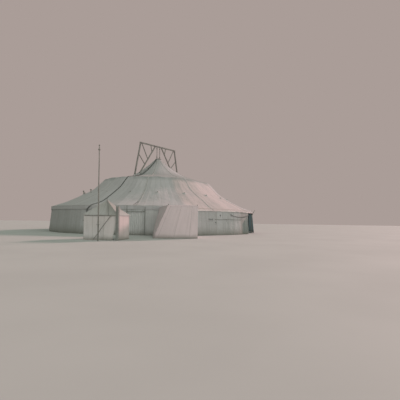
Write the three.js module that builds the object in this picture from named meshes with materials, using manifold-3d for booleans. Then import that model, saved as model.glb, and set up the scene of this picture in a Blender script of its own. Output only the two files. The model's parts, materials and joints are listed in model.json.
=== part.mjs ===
// A round circus big top: a canvas roof slung from a timber gantry that stands over it,
// on quarter poles and side poles, with its canvas wall, porch, ticket booth and flag mast.
// Millimetres, +Z up, +X to the right seen from the entrance side. Everything is laid out
// round the ring centre, and at the end the group is moved so that its origin lies on the
// ground under the middle of the whole footprint.
import * as THREE from "three";
import { mergeVertices } from "three/addons/utils/BufferGeometryUtils.js";
import Module from "manifold-3d";

const wasm = await Module();
wasm.setup();

const gap = 0.3; // left between two pieces that touch
const canvas = 16; // a canvas sheet with its seams and hems
const ropeWidth = 24;
const underGround = -200; // where a leaning pole starts before the ground cuts it level

// Rings of the tent, all round the ring centre.
const bayAngle = 18; // a side pole and an outer pole stand every 18 degrees
const facetAngle = bayAngle / 2; // canvas runs straight from a pole to the middle of its bay
const ringRadius = 300; // outside of the iron crown ring
const ringWidth = 70;
const ringBottom = 9790;
const ringTop = 9870;
const fallRadius = 16; // the two ropes that hoist the crown ring to the beam
const quarterPoles = { ring: 7000, every: 36, radius: 60 }; // the tall poles under the shoulder
const outerPoles = { ring: 9600, radius: 45, tip: 350, ropeZ: 3900 }; // their tips stand out of the canvas
const sidePoles = { ring: 13100, radius: 40, ropeRing: 13140, ropeZ: 2780 };
const polesPerArc = 5;
const eaveRadius = 13200;
const valanceBottom = 2500;
const wallTop = 2860;
const footRadius = 13450;
const seamAngle = 0.06; // half the laced joint between two roof sections, in degrees

// The roof from crown ring to valance hem: radius, height. Its facets are flat.
const roofLine = [
  [ringRadius + gap, 9830],
  [1300, 8900],
  [2800, 7900],
  [4200, 7180],
  [5600, 6800],
  [7000, 6590],
  [8300, 5270],
  [9600, 4500],
  [11400, 3620],
  [eaveRadius, 2930],
  [eaveRadius + 15, valanceBottom],
];
const wallLine = [
  [eaveRadius - 15, wallTop],
  [eaveRadius - 3, 2480],
  [footRadius, 0],
];
const hairline = 0.0007; // half the joint between two wall sheets, in degrees
const sectionAngle = 36; // one roof section covers two bays
const firstSeam = 45;

// Gantry: a flat timber truss that stands across the crown. Half widths along its plane.
const gantryAngle = 45;
const beamHalf = 3350;
const beamBottom = 11415;
const beamTop = 11585;
const legAtGround = 5720;
const legAtBeam = 3240;
const legWidth = 150;
const diagonalAtBeam = 610;
const diagonalFoot = [4326, 6100];
const diagonalWidth = 130;
const braceWidth = 90;
// Braces of one side, each from its upper end to its lower one.
const braces = {
  outer: [[3547, 10000], [2400, 8750]],
  middle: [[3000, beamBottom - gap], [1910, 9500]],
  inner: [[1400, beamBottom - gap], [1190, 10550]],
};
// The canvas is cut away round the timbers, from and to along the gantry plane.
const timberHoles = [[3070, 3390], [4000, 4320]];
const timberHoleWidth = 190;
const soleHalf = 300;
const soleHeight = 60;

// Doorways in the wall, as the angle of the middle and the half width in degrees.
const entrance = { angle: 261, half: 3.65 };
const lintelHeight = 2330;
const porchWay = { angle: 276.6, half: 5.2 };
const openBay = { from: 320, to: 342 };

const entranceFrame = { radius: 35, outside: 31, beside: 0.2 }; // its poles and where they lean

const porch = {
  angle: 276.6,
  halfWidth: 1300,
  flareFoot: 2500, // the left side leans out this far at its foot
  front: 18670,
  back: 12900,
  height: 2780,
  crown: 50,
  postsX: [18595, 13680],
  postInset: 60,
  postRadius: 38,
  tip: 120,
  railRadius: 30,
  railDrop: 60,
};
const booth = {
  x: -3810,
  y: -20400,
  angle: -19.3,
  halfWidth: 1360,
  halfDepth: 1010,
  overhang: 40,
  eave: 1900,
  apex: 3030,
  wallDrop: 60, // the walls end this far under the eave
  poleRadius: 30,
  postInset: 50,
  postRadius: 28,
  railRadius: 25,
  cornerWidth: 200,
  cornerTop: 2500,
};
const mast = { x: -4090, y: -22600, radius: 50, tipRadius: 30, top: 6740, truck: 50, knobZ: 6430, knob: 75 };

const finishes = {
  roofCanvas: { color: 0xa8a49a, roughness: 0.9, metalness: 0 },
  wallCanvas: { color: 0x9a9a92, roughness: 0.9, metalness: 0 },
  boothCanvas: { color: 0xc2b2a4, roughness: 0.9, metalness: 0 },
  timber: { color: 0x4d4c48, roughness: 0.8, metalness: 0 },
  iron: { color: 0x3a3b3c, roughness: 0.6, metalness: 0.8 },
};

const bigTop = new THREE.Group();
const radians = THREE.MathUtils.degToRad;

// Solids: a closed geometry as a manifold-3d solid and back, and the ways they are cut.
function solidOf(geometry) {
  const bare = geometry.clone();
  bare.deleteAttribute("normal");
  bare.deleteAttribute("uv");
  const merged = mergeVertices(bare, 1e-3);
  return new wasm.Manifold(
    new wasm.Mesh({
      numProp: 3,
      vertProperties: merged.attributes.position.array,
      triVerts: new Uint32Array(merged.index.array),
    }),
  );
}

function geometryOf(solid) {
  const mesh = solid.getMesh();
  const positions = new Float32Array(mesh.numVert * 3);
  for (let i = 0; i < mesh.numVert; i++) {
    const start = i * mesh.numProp;
    positions.set(mesh.vertProperties.subarray(start, start + 3), i * 3);
  }
  const geometry = new THREE.BufferGeometry();
  geometry.setAttribute("position", new THREE.BufferAttribute(positions, 3));
  geometry.setIndex(new THREE.BufferAttribute(new Uint32Array(mesh.triVerts), 1));
  geometry.computeVertexNormals();
  return geometry;
}

function join(solids) {
  return solids.reduce((whole, next) => whole.add(next));
}

// What is left of a member between its carriers, without the slivers past them.
function between(solid, carriers) {
  const bodies = solid.subtract(carriers).decompose();
  return bodies.reduce((largest, body) => (body.volume() > largest.volume() ? body : largest));
}

function addPiece(name, solid, finish) {
  const mesh = new THREE.Mesh(geometryOf(solid), new THREE.MeshStandardMaterial(finishes[finish]));
  mesh.name = name;
  bigTop.add(mesh);
}

// Plain shapes.
function block(xs, ys, zs) {
  const box = new THREE.BoxGeometry(xs[1] - xs[0], ys[1] - ys[0], zs[1] - zs[0]);
  box.translate((xs[0] + xs[1]) / 2, (ys[0] + ys[1]) / 2, (zs[0] + zs[1]) / 2);
  return solidOf(box);
}

// An upright round has flats across X and Y.
function upright(x, y, bottom, top, radius, tipRadius = radius, sides = 8) {
  const height = top - bottom;
  const pole = new THREE.CylinderGeometry(tipRadius, radius, height, sides, 1, false, Math.PI / sides);
  pole.rotateX(Math.PI / 2);
  pole.translate(x, y, (bottom + top) / 2);
  return solidOf(pole);
}

function spar(from, to, radius, sides = 8) {
  const start = new THREE.Vector3(...from);
  const along = new THREE.Vector3(...to).sub(start);
  const pole = new THREE.CylinderGeometry(radius, radius, along.length(), sides);
  const turn = new THREE.Quaternion();
  turn.setFromUnitVectors(new THREE.Vector3(0, 1, 0), along.clone().normalize());
  pole.applyQuaternion(turn);
  pole.translate(...start.addScaledVector(along, 0.5));
  return solidOf(pole);
}

// A flat outline of [x, y] corners with a thickness, centred on its own plane.
function plate(outline, thickness) {
  const shape = new THREE.Shape(outline.map(([x, y]) => new THREE.Vector2(x, y)));
  const geometry = new THREE.ExtrudeGeometry(shape, { depth: thickness, bevelEnabled: false });
  geometry.translate(0, 0, -thickness / 2);
  return geometry;
}

const ground = block([-20000, 20000], [-30000, 20000], [-600, 0]);

// Rings. A ring's corners lie every facetAngle, so that sheets and ropes stay parallel.
function polar(radius, angle, z) {
  return [radius * Math.cos(radians(angle)), radius * Math.sin(radians(angle)), z];
}

function facetRadius(radius, angle) {
  const half = facetAngle / 2;
  const fromMiddle = THREE.MathUtils.euclideanModulo(angle, facetAngle) - half;
  return (radius * Math.cos(radians(half))) / Math.cos(radians(fromMiddle));
}

function facetAngles(from, to) {
  const angles = [from];
  const first = Math.ceil((from + 0.1) / facetAngle);
  for (let step = first; step * facetAngle < to - 0.1; step++) angles.push(step * facetAngle);
  angles.push(to);
  return angles;
}

// An upright pole on a ring, with two flats square to the radius.
function ringPole(ring, angle, bottom, top, radius) {
  return upright(ring, 0, bottom, top, radius).rotate([0, 0, angle]);
}

// A closed outline of [radius, z] corners swept round.
function ringSector(outline, from, to) {
  const angles = facetAngles(from, to);
  const corners = outline.length;
  const positions = angles.flatMap((angle) =>
    outline.flatMap(([radius, z]) => polar(facetRadius(radius, angle), angle, z)),
  );
  const index = [];
  for (let i = 0; i < angles.length - 1; i++) {
    for (let j = 0; j < corners; j++) {
      const next = (j + 1) % corners;
      const [a, b] = [i * corners + j, i * corners + next];
      const [c, d] = [b + corners, a + corners];
      index.push(a, d, c, a, c, b);
    }
  }
  const contour = outline.map(([radius, z]) => new THREE.Vector2(radius, z));
  const last = (angles.length - 1) * corners;
  THREE.ShapeUtils.triangulateShape(contour, []).forEach(([a, b, c]) => {
    index.push(a, b, c);
    index.push(last + a, last + c, last + b);
  });
  const geometry = new THREE.BufferGeometry();
  geometry.setAttribute("position", new THREE.Float32BufferAttribute(positions, 3));
  geometry.setIndex(index);
  return solidOf(geometry);
}

// A line of [radius, z] points moved sideways: positive is down and in, on a line that is
// drawn from the crown outwards. It stays upright at its start, against the crown ring.
function offsetLine(line, distance) {
  return line.map((point, i) => {
    const before = line[Math.max(i - 1, 0)];
    const after = line[Math.min(i + 1, line.length - 1)];
    const into = new THREE.Vector2(point[0] - before[0], point[1] - before[1]).normalize();
    const out = new THREE.Vector2(after[0] - point[0], after[1] - point[1]).normalize();
    const along = into.clone().add(out).normalize();
    if (i === 0) return [point[0], point[1] - distance / along.x];
    const reach = distance / Math.max(along.dot(into), along.dot(out));
    return [point[0] + along.y * reach, point[1] - along.x * reach];
  });
}

function sheetOutline(line, upper, lower) {
  const top = offsetLine(line, upper);
  const under = offsetLine(line, lower);
  return [...under, ...top.reverse()];
}

function roofSector(from, to, upper, lower) {
  return ringSector(sheetOutline(roofLine, upper, lower), from, to);
}

function roofHeight(radius) {
  const i = roofLine.findIndex((point) => point[0] >= radius);
  const [before, after] = [roofLine[i - 1], roofLine[i]];
  const share = (radius - before[0]) / (after[0] - before[0]);
  return before[1] + share * (after[1] - before[1]);
}

// A pole that stands under the roof ends just below the canvas.
function poleUnderRoof({ ring, radius }, angle) {
  const above = 300;
  const pole = ringPole(ring, angle, 0, roofHeight(ring) + above / 2, radius);
  return pole.subtract(roofSector(angle - facetAngle, angle + facetAngle, -above, canvas + gap));
}

function wallRadius(z) {
  const [head, hem, foot] = wallLine;
  const [upper, lower] = z > hem[1] ? [head, hem] : [hem, foot];
  return lower[0] + ((upper[0] - lower[0]) * (z - lower[1])) / (upper[1] - lower[1]);
}

// The wall is level at its foot, so its thickness is measured across.
function wallSector(from, to, extra = 0) {
  const inside = wallLine.map(([radius, z]) => [radius - canvas - extra, z]);
  const outside = wallLine.map(([radius, z]) => [radius + extra, z]);
  return ringSector([...inside, ...outside.reverse()], from + hairline, to - hairline);
}

// Gantry members are outlines in its plane: distance from the middle, height.
function inGantryPlane(geometry) {
  const along = new THREE.Vector3(...polar(1, gantryAngle, 0));
  const up = new THREE.Vector3(0, 0, 1);
  const across = along.clone().cross(up);
  return solidOf(geometry.applyMatrix4(new THREE.Matrix4().makeBasis(along, up, across)));
}

// A member from [t, z] down to [t, z], with level ends, made wider all round by extra.
function member(top, bottom, width, extra = 0) {
  const rise = top[1] - bottom[1];
  const run = top[0] - bottom[0];
  const half = ((width / 2 + extra) * Math.hypot(rise, run)) / rise;
  const outline = [
    [bottom[0] - half, bottom[1] - extra],
    [bottom[0] + half, bottom[1] - extra],
    [top[0] + half, top[1] + extra],
    [top[0] - half, top[1] + extra],
  ];
  return inGantryPlane(plate(outline, width + 2 * extra));
}

function leg(side, extra = 0) {
  return member([side * legAtBeam, beamBottom - gap - extra], [side * legAtGround, extra], legWidth, extra);
}

function diagonal(side, extra = 0) {
  const [footAt, footZ] = diagonalFoot;
  const top = [side * diagonalAtBeam, beamBottom - gap - extra];
  return member(top, [side * footAt, footZ], diagonalWidth, extra);
}

function makeGantry() {
  const beamOutline = [
    [-beamHalf, beamBottom],
    [beamHalf, beamBottom],
    [beamHalf, beamTop],
    [-beamHalf, beamTop],
  ];
  addPiece("gantry_beam", inGantryPlane(plate(beamOutline, legWidth)), "timber");
  for (const [side, end] of [[-1, "front"], [1, "back"]]) {
    const [soleX, soleY] = polar(side * legAtGround, gantryAngle, 0);
    const sole = block(
      [soleX - soleHalf, soleX + soleHalf],
      [soleY - soleHalf, soleY + soleHalf],
      [0, soleHeight],
    );
    addPiece("gantry_leg_" + end, leg(side).add(sole), "timber");
    addPiece("gantry_diagonal_" + end, between(diagonal(side), leg(side, gap)), "timber");
    const carriers = leg(side, gap).add(diagonal(side, gap));
    for (const [place, ends] of Object.entries(braces)) {
      const [top, bottom] = ends.map(([at, z]) => [side * at, z]);
      const brace = between(member(top, bottom, braceWidth), carriers);
      addPiece("gantry_brace_" + end + "_" + place, brace, "timber");
    }
  }
}

// The iron ring that the canvas is laced to, with the two falls that hoist it to the beam.
function makeCrownRing() {
  const outline = new THREE.Shape();
  outline.absarc(0, 0, ringRadius, 0, 2 * Math.PI);
  const bore = new THREE.Path();
  bore.absarc(0, 0, ringRadius - ringWidth, 0, 2 * Math.PI);
  outline.holes.push(bore);
  const depth = ringTop - ringBottom;
  const ring = new THREE.ExtrudeGeometry(outline, { depth, bevelEnabled: false, curveSegments: 20 });
  ring.translate(0, 0, ringBottom);
  const falls = [-1, 1].map((side) => {
    const [x, y] = polar(side * (ringRadius - ringWidth / 2), gantryAngle, 0);
    return upright(x, y, ringBottom + 40, beamBottom - gap, fallRadius, fallRadius, 6);
  });
  addPiece("crown_ring_and_falls", join([solidOf(ring), ...falls]), "iron");
}

function makeRoof() {
  const holes = [-1, 1].flatMap((side) =>
    timberHoles.map(([from, to]) => {
      const [below, above] = [6000, 9000];
      const outline = [[from, below], [to, below], [to, above], [from, above]];
      return inGantryPlane(plate(outline.map(([at, z]) => [side * at, z]), timberHoleWidth));
    }),
  );
  const timberWays = join(holes);
  for (let i = 0; i < 360 / sectionAngle; i++) {
    const from = firstSeam + i * sectionAngle;
    let section = roofSector(from + seamAngle, from + sectionAngle - seamAngle, 0, canvas);
    for (let angle = from + facetAngle; angle < from + sectionAngle; angle += bayAngle) {
      section = section.subtract(ringPole(outerPoles.ring, angle, 0, ringTop, outerPoles.radius + gap));
    }
    addPiece("roof_section_" + (i + 1), section.subtract(timberWays), "roofCanvas");
  }
}

function makePoles() {
  for (let i = 0; i < 360 / quarterPoles.every; i++) {
    const angle = i * quarterPoles.every;
    addPiece("quarter_pole_" + (i + 1), poleUnderRoof(quarterPoles, angle), "timber");
  }
  // Outer and side poles stand in arcs of five, each arc tied together by its ring rope.
  const arcAngle = polesPerArc * bayAngle;
  ["right", "back", "left", "front"].forEach((side, arc) => {
    const from = arc * arcAngle;
    const outer = [ropeArc(outerPoles.ring, outerPoles.ropeZ, from, from + arcAngle, outerPoles.radius)];
    const eave = [ropeArc(sidePoles.ropeRing, sidePoles.ropeZ, from, from + arcAngle, sidePoles.radius)];
    for (let angle = from; angle < from + arcAngle; angle += bayAngle) {
      const tip = roofHeight(outerPoles.ring) + outerPoles.tip;
      outer.push(ringPole(outerPoles.ring, angle, 0, tip, outerPoles.radius));
      eave.push(poleUnderRoof(sidePoles, angle));
    }
    addPiece("outer_poles_" + side, join(outer), "timber");
    addPiece("side_poles_" + side, join(eave), "timber");
  });
}

// A rope that ends against the first pole of the next arc.
function ropeArc(radius, z, from, nextPole, poleRadius) {
  const half = ropeWidth / 2;
  const to = nextPole - THREE.MathUtils.radToDeg((poleRadius + gap) / radius);
  const outline = [
    [radius - half, z - half],
    [radius + half, z - half],
    [radius + half, z + half],
    [radius - half, z + half],
  ];
  return ringSector(outline, from, to);
}

function makeWall() {
  const sheets = {
    wall_right: [openBay.to - 360, 72],
    wall_back: [72, 162],
    wall_left: [162, entrance.angle - entrance.half],
    wall_front: [entrance.angle + entrance.half, porchWay.angle - porchWay.half],
    wall_front_right: [porchWay.angle + porchWay.half, openBay.from],
  };
  for (const [name, [from, to]] of Object.entries(sheets)) {
    addPiece(name, wallSector(from, to), "wallCanvas");
  }
  const [curtainFrom, curtainTo] = [entrance.angle - entrance.half, entrance.angle + entrance.half];
  addPiece("entrance_curtain", wallSector(curtainFrom, curtainTo), "wallCanvas");

  // The entrance frame leans on the wall, outside it.
  const [, hem, foot] = wallLine;
  const { radius, outside, beside } = entranceFrame;
  const reachDown = (foot[0] - hem[0]) * (-underGround / hem[1]);
  const stand = [-1, 1].map((side) => entrance.angle + side * (entrance.half + beside));
  const posts = stand.map((angle) =>
    spar(
      polar(foot[0] + outside + reachDown, angle, underGround),
      polar(hem[0] + outside, angle, hem[1]),
      radius,
    ),
  );
  const lintelAt = (angle) => polar(wallRadius(lintelHeight) + outside, angle, lintelHeight);
  const lintel = stand.map((angle) => spar(lintelAt(angle), lintelAt(entrance.angle), radius));
  const frame = join([...posts, ...lintel]).subtract(ground);
  addPiece("entrance_frame", between(frame, wallSector(stand[0] - 1, stand[1] + 1, gap)), "timber");

  // The canvas of the open bay is drawn to the left under its heading and hangs in a fold.
  const edge = openBay.from + hairline;
  const underHeading = wallLine[1][1];
  const heading = [
    [edge, underHeading],
    [edge + 3.8, underHeading],
    [edge + 3.8, wallTop],
    [edge, wallTop],
  ];
  const fold = [
    [edge, 0],
    [edge + 1, 0],
    [edge + 1.2, 1150],
    [edge + 2.2, 1900],
    [edge + 3.8, underHeading],
    [edge, underHeading],
  ];
  addPiece("drawn_wall_flap", join([heading, fold].map(onWall)), "wallCanvas");
}

// An outline of [angle, z] corners as canvas in the line of the wall.
function onWall(outline) {
  const sheet = plate(outline, canvas);
  const corners = sheet.attributes.position;
  for (let i = 0; i < corners.count; i++) {
    const [angle, z, depth] = [corners.getX(i), corners.getY(i), corners.getZ(i)];
    corners.setXYZ(i, ...polar(facetRadius(wallRadius(z) - canvas, angle) + depth, angle, z));
  }
  return solidOf(sheet);
}

// The porch in its own frame: x outwards from the ring centre, y along the wall.
function inPorch(geometryOrSolid) {
  return geometryOrSolid.rotate([0, 0, porch.angle]);
}

// The porch ends against the wall and the valance. The flank stands 1 mm clear of them.
function besideTent(solid) {
  const [, hem, foot] = wallLine;
  const [inside, below, above] = [eaveRadius - 1200, -10, porch.height + 200];
  const flank = [
    [inside, below],
    [foot[0] + gap, below],
    [foot[0] + gap, 0],
    [hem[0] + gap, hem[1]],
    [eaveRadius + 16, valanceBottom - 1],
    [eaveRadius + 1 + gap, above],
    [inside, above],
  ];
  const reach = 3 * facetAngle;
  return solid.subtract(ringSector(flank, porch.angle - reach, porch.angle + reach));
}

// An outline across the porch, [y, z], pulled out along its length from one x to another.
function alongPorch(outline, from, to) {
  const geometry = plate(outline, to - from);
  const basis = new THREE.Matrix4().makeBasis(
    new THREE.Vector3(0, 1, 0),
    new THREE.Vector3(0, 0, 1),
    new THREE.Vector3(1, 0, 0),
  );
  basis.setPosition((from + to) / 2, 0, 0);
  return solidOf(geometry.applyMatrix4(basis));
}

function makePorch() {
  const { halfWidth, flareFoot, front, back, height, crown, postRadius, railRadius } = porch;
  const postAt = halfWidth - porch.postInset;
  const railZ = height - porch.railDrop;
  const [frontPost, backPost] = porch.postsX;
  const postsFor = (x, top) => [-1, 1].map((side) => upright(x, side * postAt, 0, top, postRadius));
  const rail = (from, to) => spar([...from, railZ], [...to, railZ], railRadius);
  const rails = [
    ...[-postAt, postAt].map((y) => rail([backPost, y], [frontPost, y])),
    ...porch.postsX.map((x) => rail([x, -postAt], [x, postAt])),
  ];
  const posts = [...postsFor(frontPost, height + porch.tip), ...postsFor(backPost, railZ + railRadius)];
  addPiece("porch_frame", inPorch(join([...posts, ...rails])), "timber");

  const cover = [
    [-halfWidth, height],
    [halfWidth, height],
    [halfWidth, height + canvas],
    [0, height + crown + canvas],
    [-halfWidth, height + canvas],
  ];
  const under = [
    [-halfWidth - 1, height - 1],
    [halfWidth + 1, height - 1],
    [0, height + crown],
  ];
  let roof = alongPorch(cover, back, front).subtract(alongPorch(under, back - 100, front + 100));
  for (const side of [-1, 1]) {
    const post = upright(frontPost, side * postAt, height - 200, height + 300, postRadius + gap);
    roof = roof.subtract(post);
  }
  addPiece("porch_roof", besideTent(inPorch(roof)), "roofCanvas");

  const head = height - gap;
  const slope = canvas * 1.1; // the leaning side is as thick as the upright one
  const left = [
    [-flareFoot, 0],
    [-flareFoot + slope, 0],
    [-halfWidth + slope, head],
    [-halfWidth, head],
  ];
  const right = [
    [halfWidth - canvas, 0],
    [halfWidth, 0],
    [halfWidth, head],
    [halfWidth - canvas, head],
  ];
  const face = [
    [-flareFoot, 0],
    [halfWidth, 0],
    [halfWidth, head],
    [-halfWidth, head],
  ];
  const sides = [left, right].map((outline) => alongPorch(outline, back - 300, front));
  const walls = join([...sides, alongPorch(face, front - canvas, front)]);
  addPiece("porch_walls", besideTent(inPorch(walls)), "boothCanvas");
}

// The booth in its own frame: x along its front, y to the back.
function inBooth(solid) {
  return solid.rotate([0, 0, booth.angle]).translate([booth.x, booth.y, 0]);
}

function pyramid(halfX, halfY, bottom, top) {
  const cone = new THREE.ConeGeometry(Math.SQRT2, 1, 4);
  cone.rotateY(Math.PI / 4);
  cone.rotateX(Math.PI / 2);
  cone.scale(halfX, halfY, top - bottom);
  cone.translate(0, 0, (bottom + top) / 2);
  return solidOf(cone);
}

function makeBooth() {
  const { halfWidth, halfDepth, overhang, eave, apex, poleRadius, cornerWidth, cornerTop } = booth;
  const [roofX, roofY] = [halfWidth + overhang, halfDepth + overhang];
  const underside = 26; // the slope of the canvas makes it this thick upright
  const roof = pyramid(roofX, roofY, eave, apex);
  const hollow = pyramid(roofX, roofY, eave - underside, apex - underside);
  const poleHole = upright(0, 0, eave, apex + 200, poleRadius + gap);
  // The corner post stands proud of the front and takes the corner of the roof.
  const cornerX = [halfWidth + gap - cornerWidth / 2, halfWidth + gap + cornerWidth / 2];
  const cornerY = [-halfDepth - cornerWidth / 2, -halfDepth + cornerWidth / 2];
  const cornerHole = block(
    [cornerX[0] - gap, cornerX[1] + gap],
    [cornerY[0] - cornerWidth, cornerY[1] + gap],
    [eave - 100, apex],
  );
  const cutAway = join([hollow, poleHole, cornerHole]);
  addPiece("booth_roof", inBooth(roof.subtract(cutAway)), "boothCanvas");
  addPiece("booth_corner_post", inBooth(block(cornerX, cornerY, [0, cornerTop])), "timber");

  const wallHead = eave - booth.wallDrop;
  const frontEnd = cornerX[0] - gap;
  const front = block([-halfWidth, frontEnd], [-halfDepth, -halfDepth + canvas], [0, wallHead]);
  const left = block([-halfWidth, -halfWidth + canvas], [-halfDepth, halfDepth], [0, wallHead]);
  const right = block([halfWidth - canvas, halfWidth], [cornerY[1] + gap, halfDepth], [0, wallHead]);
  addPiece("booth_front_wall", inBooth(front.add(left)), "boothCanvas");
  addPiece("booth_right_wall", inBooth(right), "boothCanvas");

  const { postInset, postRadius, railRadius } = booth;
  const [postX, postY] = [halfWidth - postInset, halfDepth - postInset];
  const railZ = wallHead - 30;
  const posts = [[-postX, -postY], [-postX, postY], [postX, postY]];
  const uprights = posts.map(([x, y]) => upright(x, y, 0, wallHead, postRadius));
  const rails = [
    spar([-postX, -postY, railZ], [-postX, postY, railZ], railRadius),
    spar([-postX, postY, railZ], [postX, postY, railZ], railRadius),
    spar([-postX, -postY, railZ], [frontEnd, -postY, railZ], railRadius),
    spar([0, -postY, railZ], [0, postY, railZ], railRadius),
  ];
  const centrePole = upright(0, 0, 0, apex + 70, poleRadius);
  addPiece("booth_frame", inBooth(join([...uprights, ...rails, centrePole])), "timber");

  // A bar along the front outside, with a prop that leans against it.
  const barRadius = 28;
  const propRadius = 25;
  const barY = -halfDepth - 24;
  const barZ = eave - 100;
  const propFoot = [-420, barY - 420, -100];
  const bar = spar([-halfWidth + 100, barY, barZ], [frontEnd, barY, barZ], barRadius);
  const prop = spar([850, barY - 20, barZ], propFoot, propRadius).subtract(ground);
  const behindFace = block([-halfWidth, halfWidth], [-halfDepth - gap, 0], [0, eave]);
  addPiece("booth_bar_and_prop", inBooth(bar.add(prop).subtract(behindFace)), "timber");
}

function makeMast() {
  const { x, y } = mast;
  const pole = upright(x, y, 0, mast.top, mast.radius, mast.tipRadius, 12);
  const balls = [[mast.knob, mast.knobZ], [mast.truck, mast.top]].map(([radius, z]) => {
    const ball = new THREE.SphereGeometry(radius, 12, 8);
    ball.translate(x, y, z);
    return solidOf(ball);
  });
  addPiece("flag_mast", join([pole, ...balls]), "timber");
}

makeGantry();
makeCrownRing();
makeRoof();
makePoles();
makeWall();
makePorch();
makeBooth();
makeMast();

const extent = new THREE.Box3().setFromObject(bigTop);
const middle = extent.getCenter(new THREE.Vector3());
bigTop.position.set(-middle.x, -middle.y, 0);

export default bigTop;
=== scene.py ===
import json
import math
import random

import bmesh
import bpy
import numpy as np
from mathutils import Matrix, Vector

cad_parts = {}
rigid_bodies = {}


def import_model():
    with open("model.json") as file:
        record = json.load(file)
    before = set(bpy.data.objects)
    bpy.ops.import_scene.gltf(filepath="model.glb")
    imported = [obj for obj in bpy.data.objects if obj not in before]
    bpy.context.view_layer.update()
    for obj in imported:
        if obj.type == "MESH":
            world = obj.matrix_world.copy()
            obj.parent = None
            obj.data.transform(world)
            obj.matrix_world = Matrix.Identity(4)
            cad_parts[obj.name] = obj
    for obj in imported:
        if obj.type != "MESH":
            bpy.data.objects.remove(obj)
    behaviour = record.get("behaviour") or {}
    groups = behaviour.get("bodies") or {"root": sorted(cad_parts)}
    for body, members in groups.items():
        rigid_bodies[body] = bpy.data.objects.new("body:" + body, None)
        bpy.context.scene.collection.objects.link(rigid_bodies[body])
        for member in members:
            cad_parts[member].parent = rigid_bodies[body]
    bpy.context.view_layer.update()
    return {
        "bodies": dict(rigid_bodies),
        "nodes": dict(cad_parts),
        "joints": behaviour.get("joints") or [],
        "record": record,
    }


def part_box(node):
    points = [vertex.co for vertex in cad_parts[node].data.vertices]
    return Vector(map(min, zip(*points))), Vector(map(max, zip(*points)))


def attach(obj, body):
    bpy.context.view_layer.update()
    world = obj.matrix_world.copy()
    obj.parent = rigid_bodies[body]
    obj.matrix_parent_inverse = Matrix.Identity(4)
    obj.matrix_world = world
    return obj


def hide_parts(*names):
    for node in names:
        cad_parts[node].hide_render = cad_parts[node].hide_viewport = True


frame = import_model()
scene = bpy.context.scene
nodes = frame["nodes"]

# The middle of the tent on the ground, under the crown ring.
ringLow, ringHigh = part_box("crown_ring_and_falls")
middleX = (ringLow[0] + ringHigh[0]) / 2
middleY = (ringLow[1] + ringHigh[1]) / 2

tentShape = {
    "bay": 18.0,  # degrees from pole to pole
    "sectionAngle": 36.0,
    "firstSeam": 45.0,
    "shoulder": 7.0,
    "outerPoles": 9.6,
    "sidePoles": 13.1,
    "eave": 13.2,
    "wallTop": 2.84,
    "wallRadii": ((0.0, 13.435), (2.48, 13.184), (2.86, 13.172)),  # height, radius
    "valanceFace": 13.232,
    "entrance": (257.35, 264.65),
    "porchWay": (271.4, 281.8),
    "openBay": (320.0, 342.0),
    "narrowAt": 346.0,
    "narrowReach": 50.0,
    "narrowBy": 0.28,
}


def together(*parts):
    # numbers and arrays side by side along a last axis
    return np.stack(np.broadcast_arrays(*parts), axis=-1)


def around(angle, radius, height):
    # x, y, z of points on rings round the tent; takes numbers or arrays.
    # The tent is not quite round: it stands a little narrower beside the open bay.
    off = np.abs((np.asarray(angle, float) - tentShape["narrowAt"] + 180) % 360 - 180)
    narrow = np.cos(np.clip(off / tentShape["narrowReach"], 0, 1) * math.pi / 2) ** 2
    outer = np.clip((np.asarray(radius, float) - 9) / 4, 0, 1.05)
    radius = radius - tentShape["narrowBy"] * narrow * outer
    turn = np.radians(angle)
    x = middleX + radius * np.cos(turn)
    y = middleY + radius * np.sin(turn)
    return together(x, y, height)


def ripple(x, y, seed, count=6):
    # smooth unevenness between about -1 and 1, the same at each run: a sum of slanted waves
    chance = random.Random(seed)
    total = np.zeros(np.broadcast(x, y).shape)
    for _ in range(count):
        turn = chance.uniform(0, math.tau)
        pitch = chance.uniform(0.6, 1.7)
        shift = chance.uniform(0, math.tau)
        total += np.sin((x * math.cos(turn) + y * math.sin(turn)) * pitch * math.tau + shift)
    return total / math.sqrt(count) / 1.4


def smoothLine(knots, count):
    # a rounded line through its knots, as count points
    knots = np.array(knots, float)
    slopes = np.gradient(knots, axis=0)
    at = np.linspace(0, len(knots) - 1, count)
    cell = np.minimum(at.astype(int), len(knots) - 2)
    t = (at - cell)[:, None]
    start, end = knots[cell], knots[cell + 1]
    leave, arrive = slopes[cell], slopes[cell + 1]
    return (
        (2 * t**3 - 3 * t**2 + 1) * start
        + (t**3 - 2 * t**2 + t) * leave
        + (3 * t**2 - 2 * t**3) * end
        + (t**3 - t**2) * arrive
    )


def newObject(name, points, faces, material):
    mesh = bpy.data.meshes.new(name)
    mesh.from_pydata(np.asarray(points).reshape(-1, 3).tolist(), [], faces)
    mesh.materials.append(materials[material])
    mesh.polygons.foreach_set("use_smooth", [True] * len(mesh.polygons))
    mesh.update()
    piece = bpy.data.objects.new(name, mesh)
    scene.collection.objects.link(piece)
    return piece


def gridFaces(rows, cols, closed=False):
    # quads whose outside is seen with the rows going down and the columns to the right
    wide = cols if closed else cols - 1
    faces = []
    for i in range(rows - 1):
        for j in range(wide):
            k = (j + 1) % cols
            faces.append((i * cols + j, (i + 1) * cols + j, (i + 1) * cols + k, i * cols + k))
    return faces


def rodFaces(rows, cols):
    # the faces of a swept body, closed at its first and last row
    last = (rows - 1) * cols
    ends = [tuple(range(cols)), tuple(range(last + cols - 1, last - 1, -1))]
    return gridFaces(rows, cols, closed=True) + ends


def hoopFaces(rows, cols):
    # the faces of a body that closes on itself both ways
    faces = gridFaces(rows, cols, closed=True)
    last = (rows - 1) * cols
    for j in range(cols):
        k = (j + 1) % cols
        faces.append((last + j, j, k, last + k))
    return faces


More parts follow.
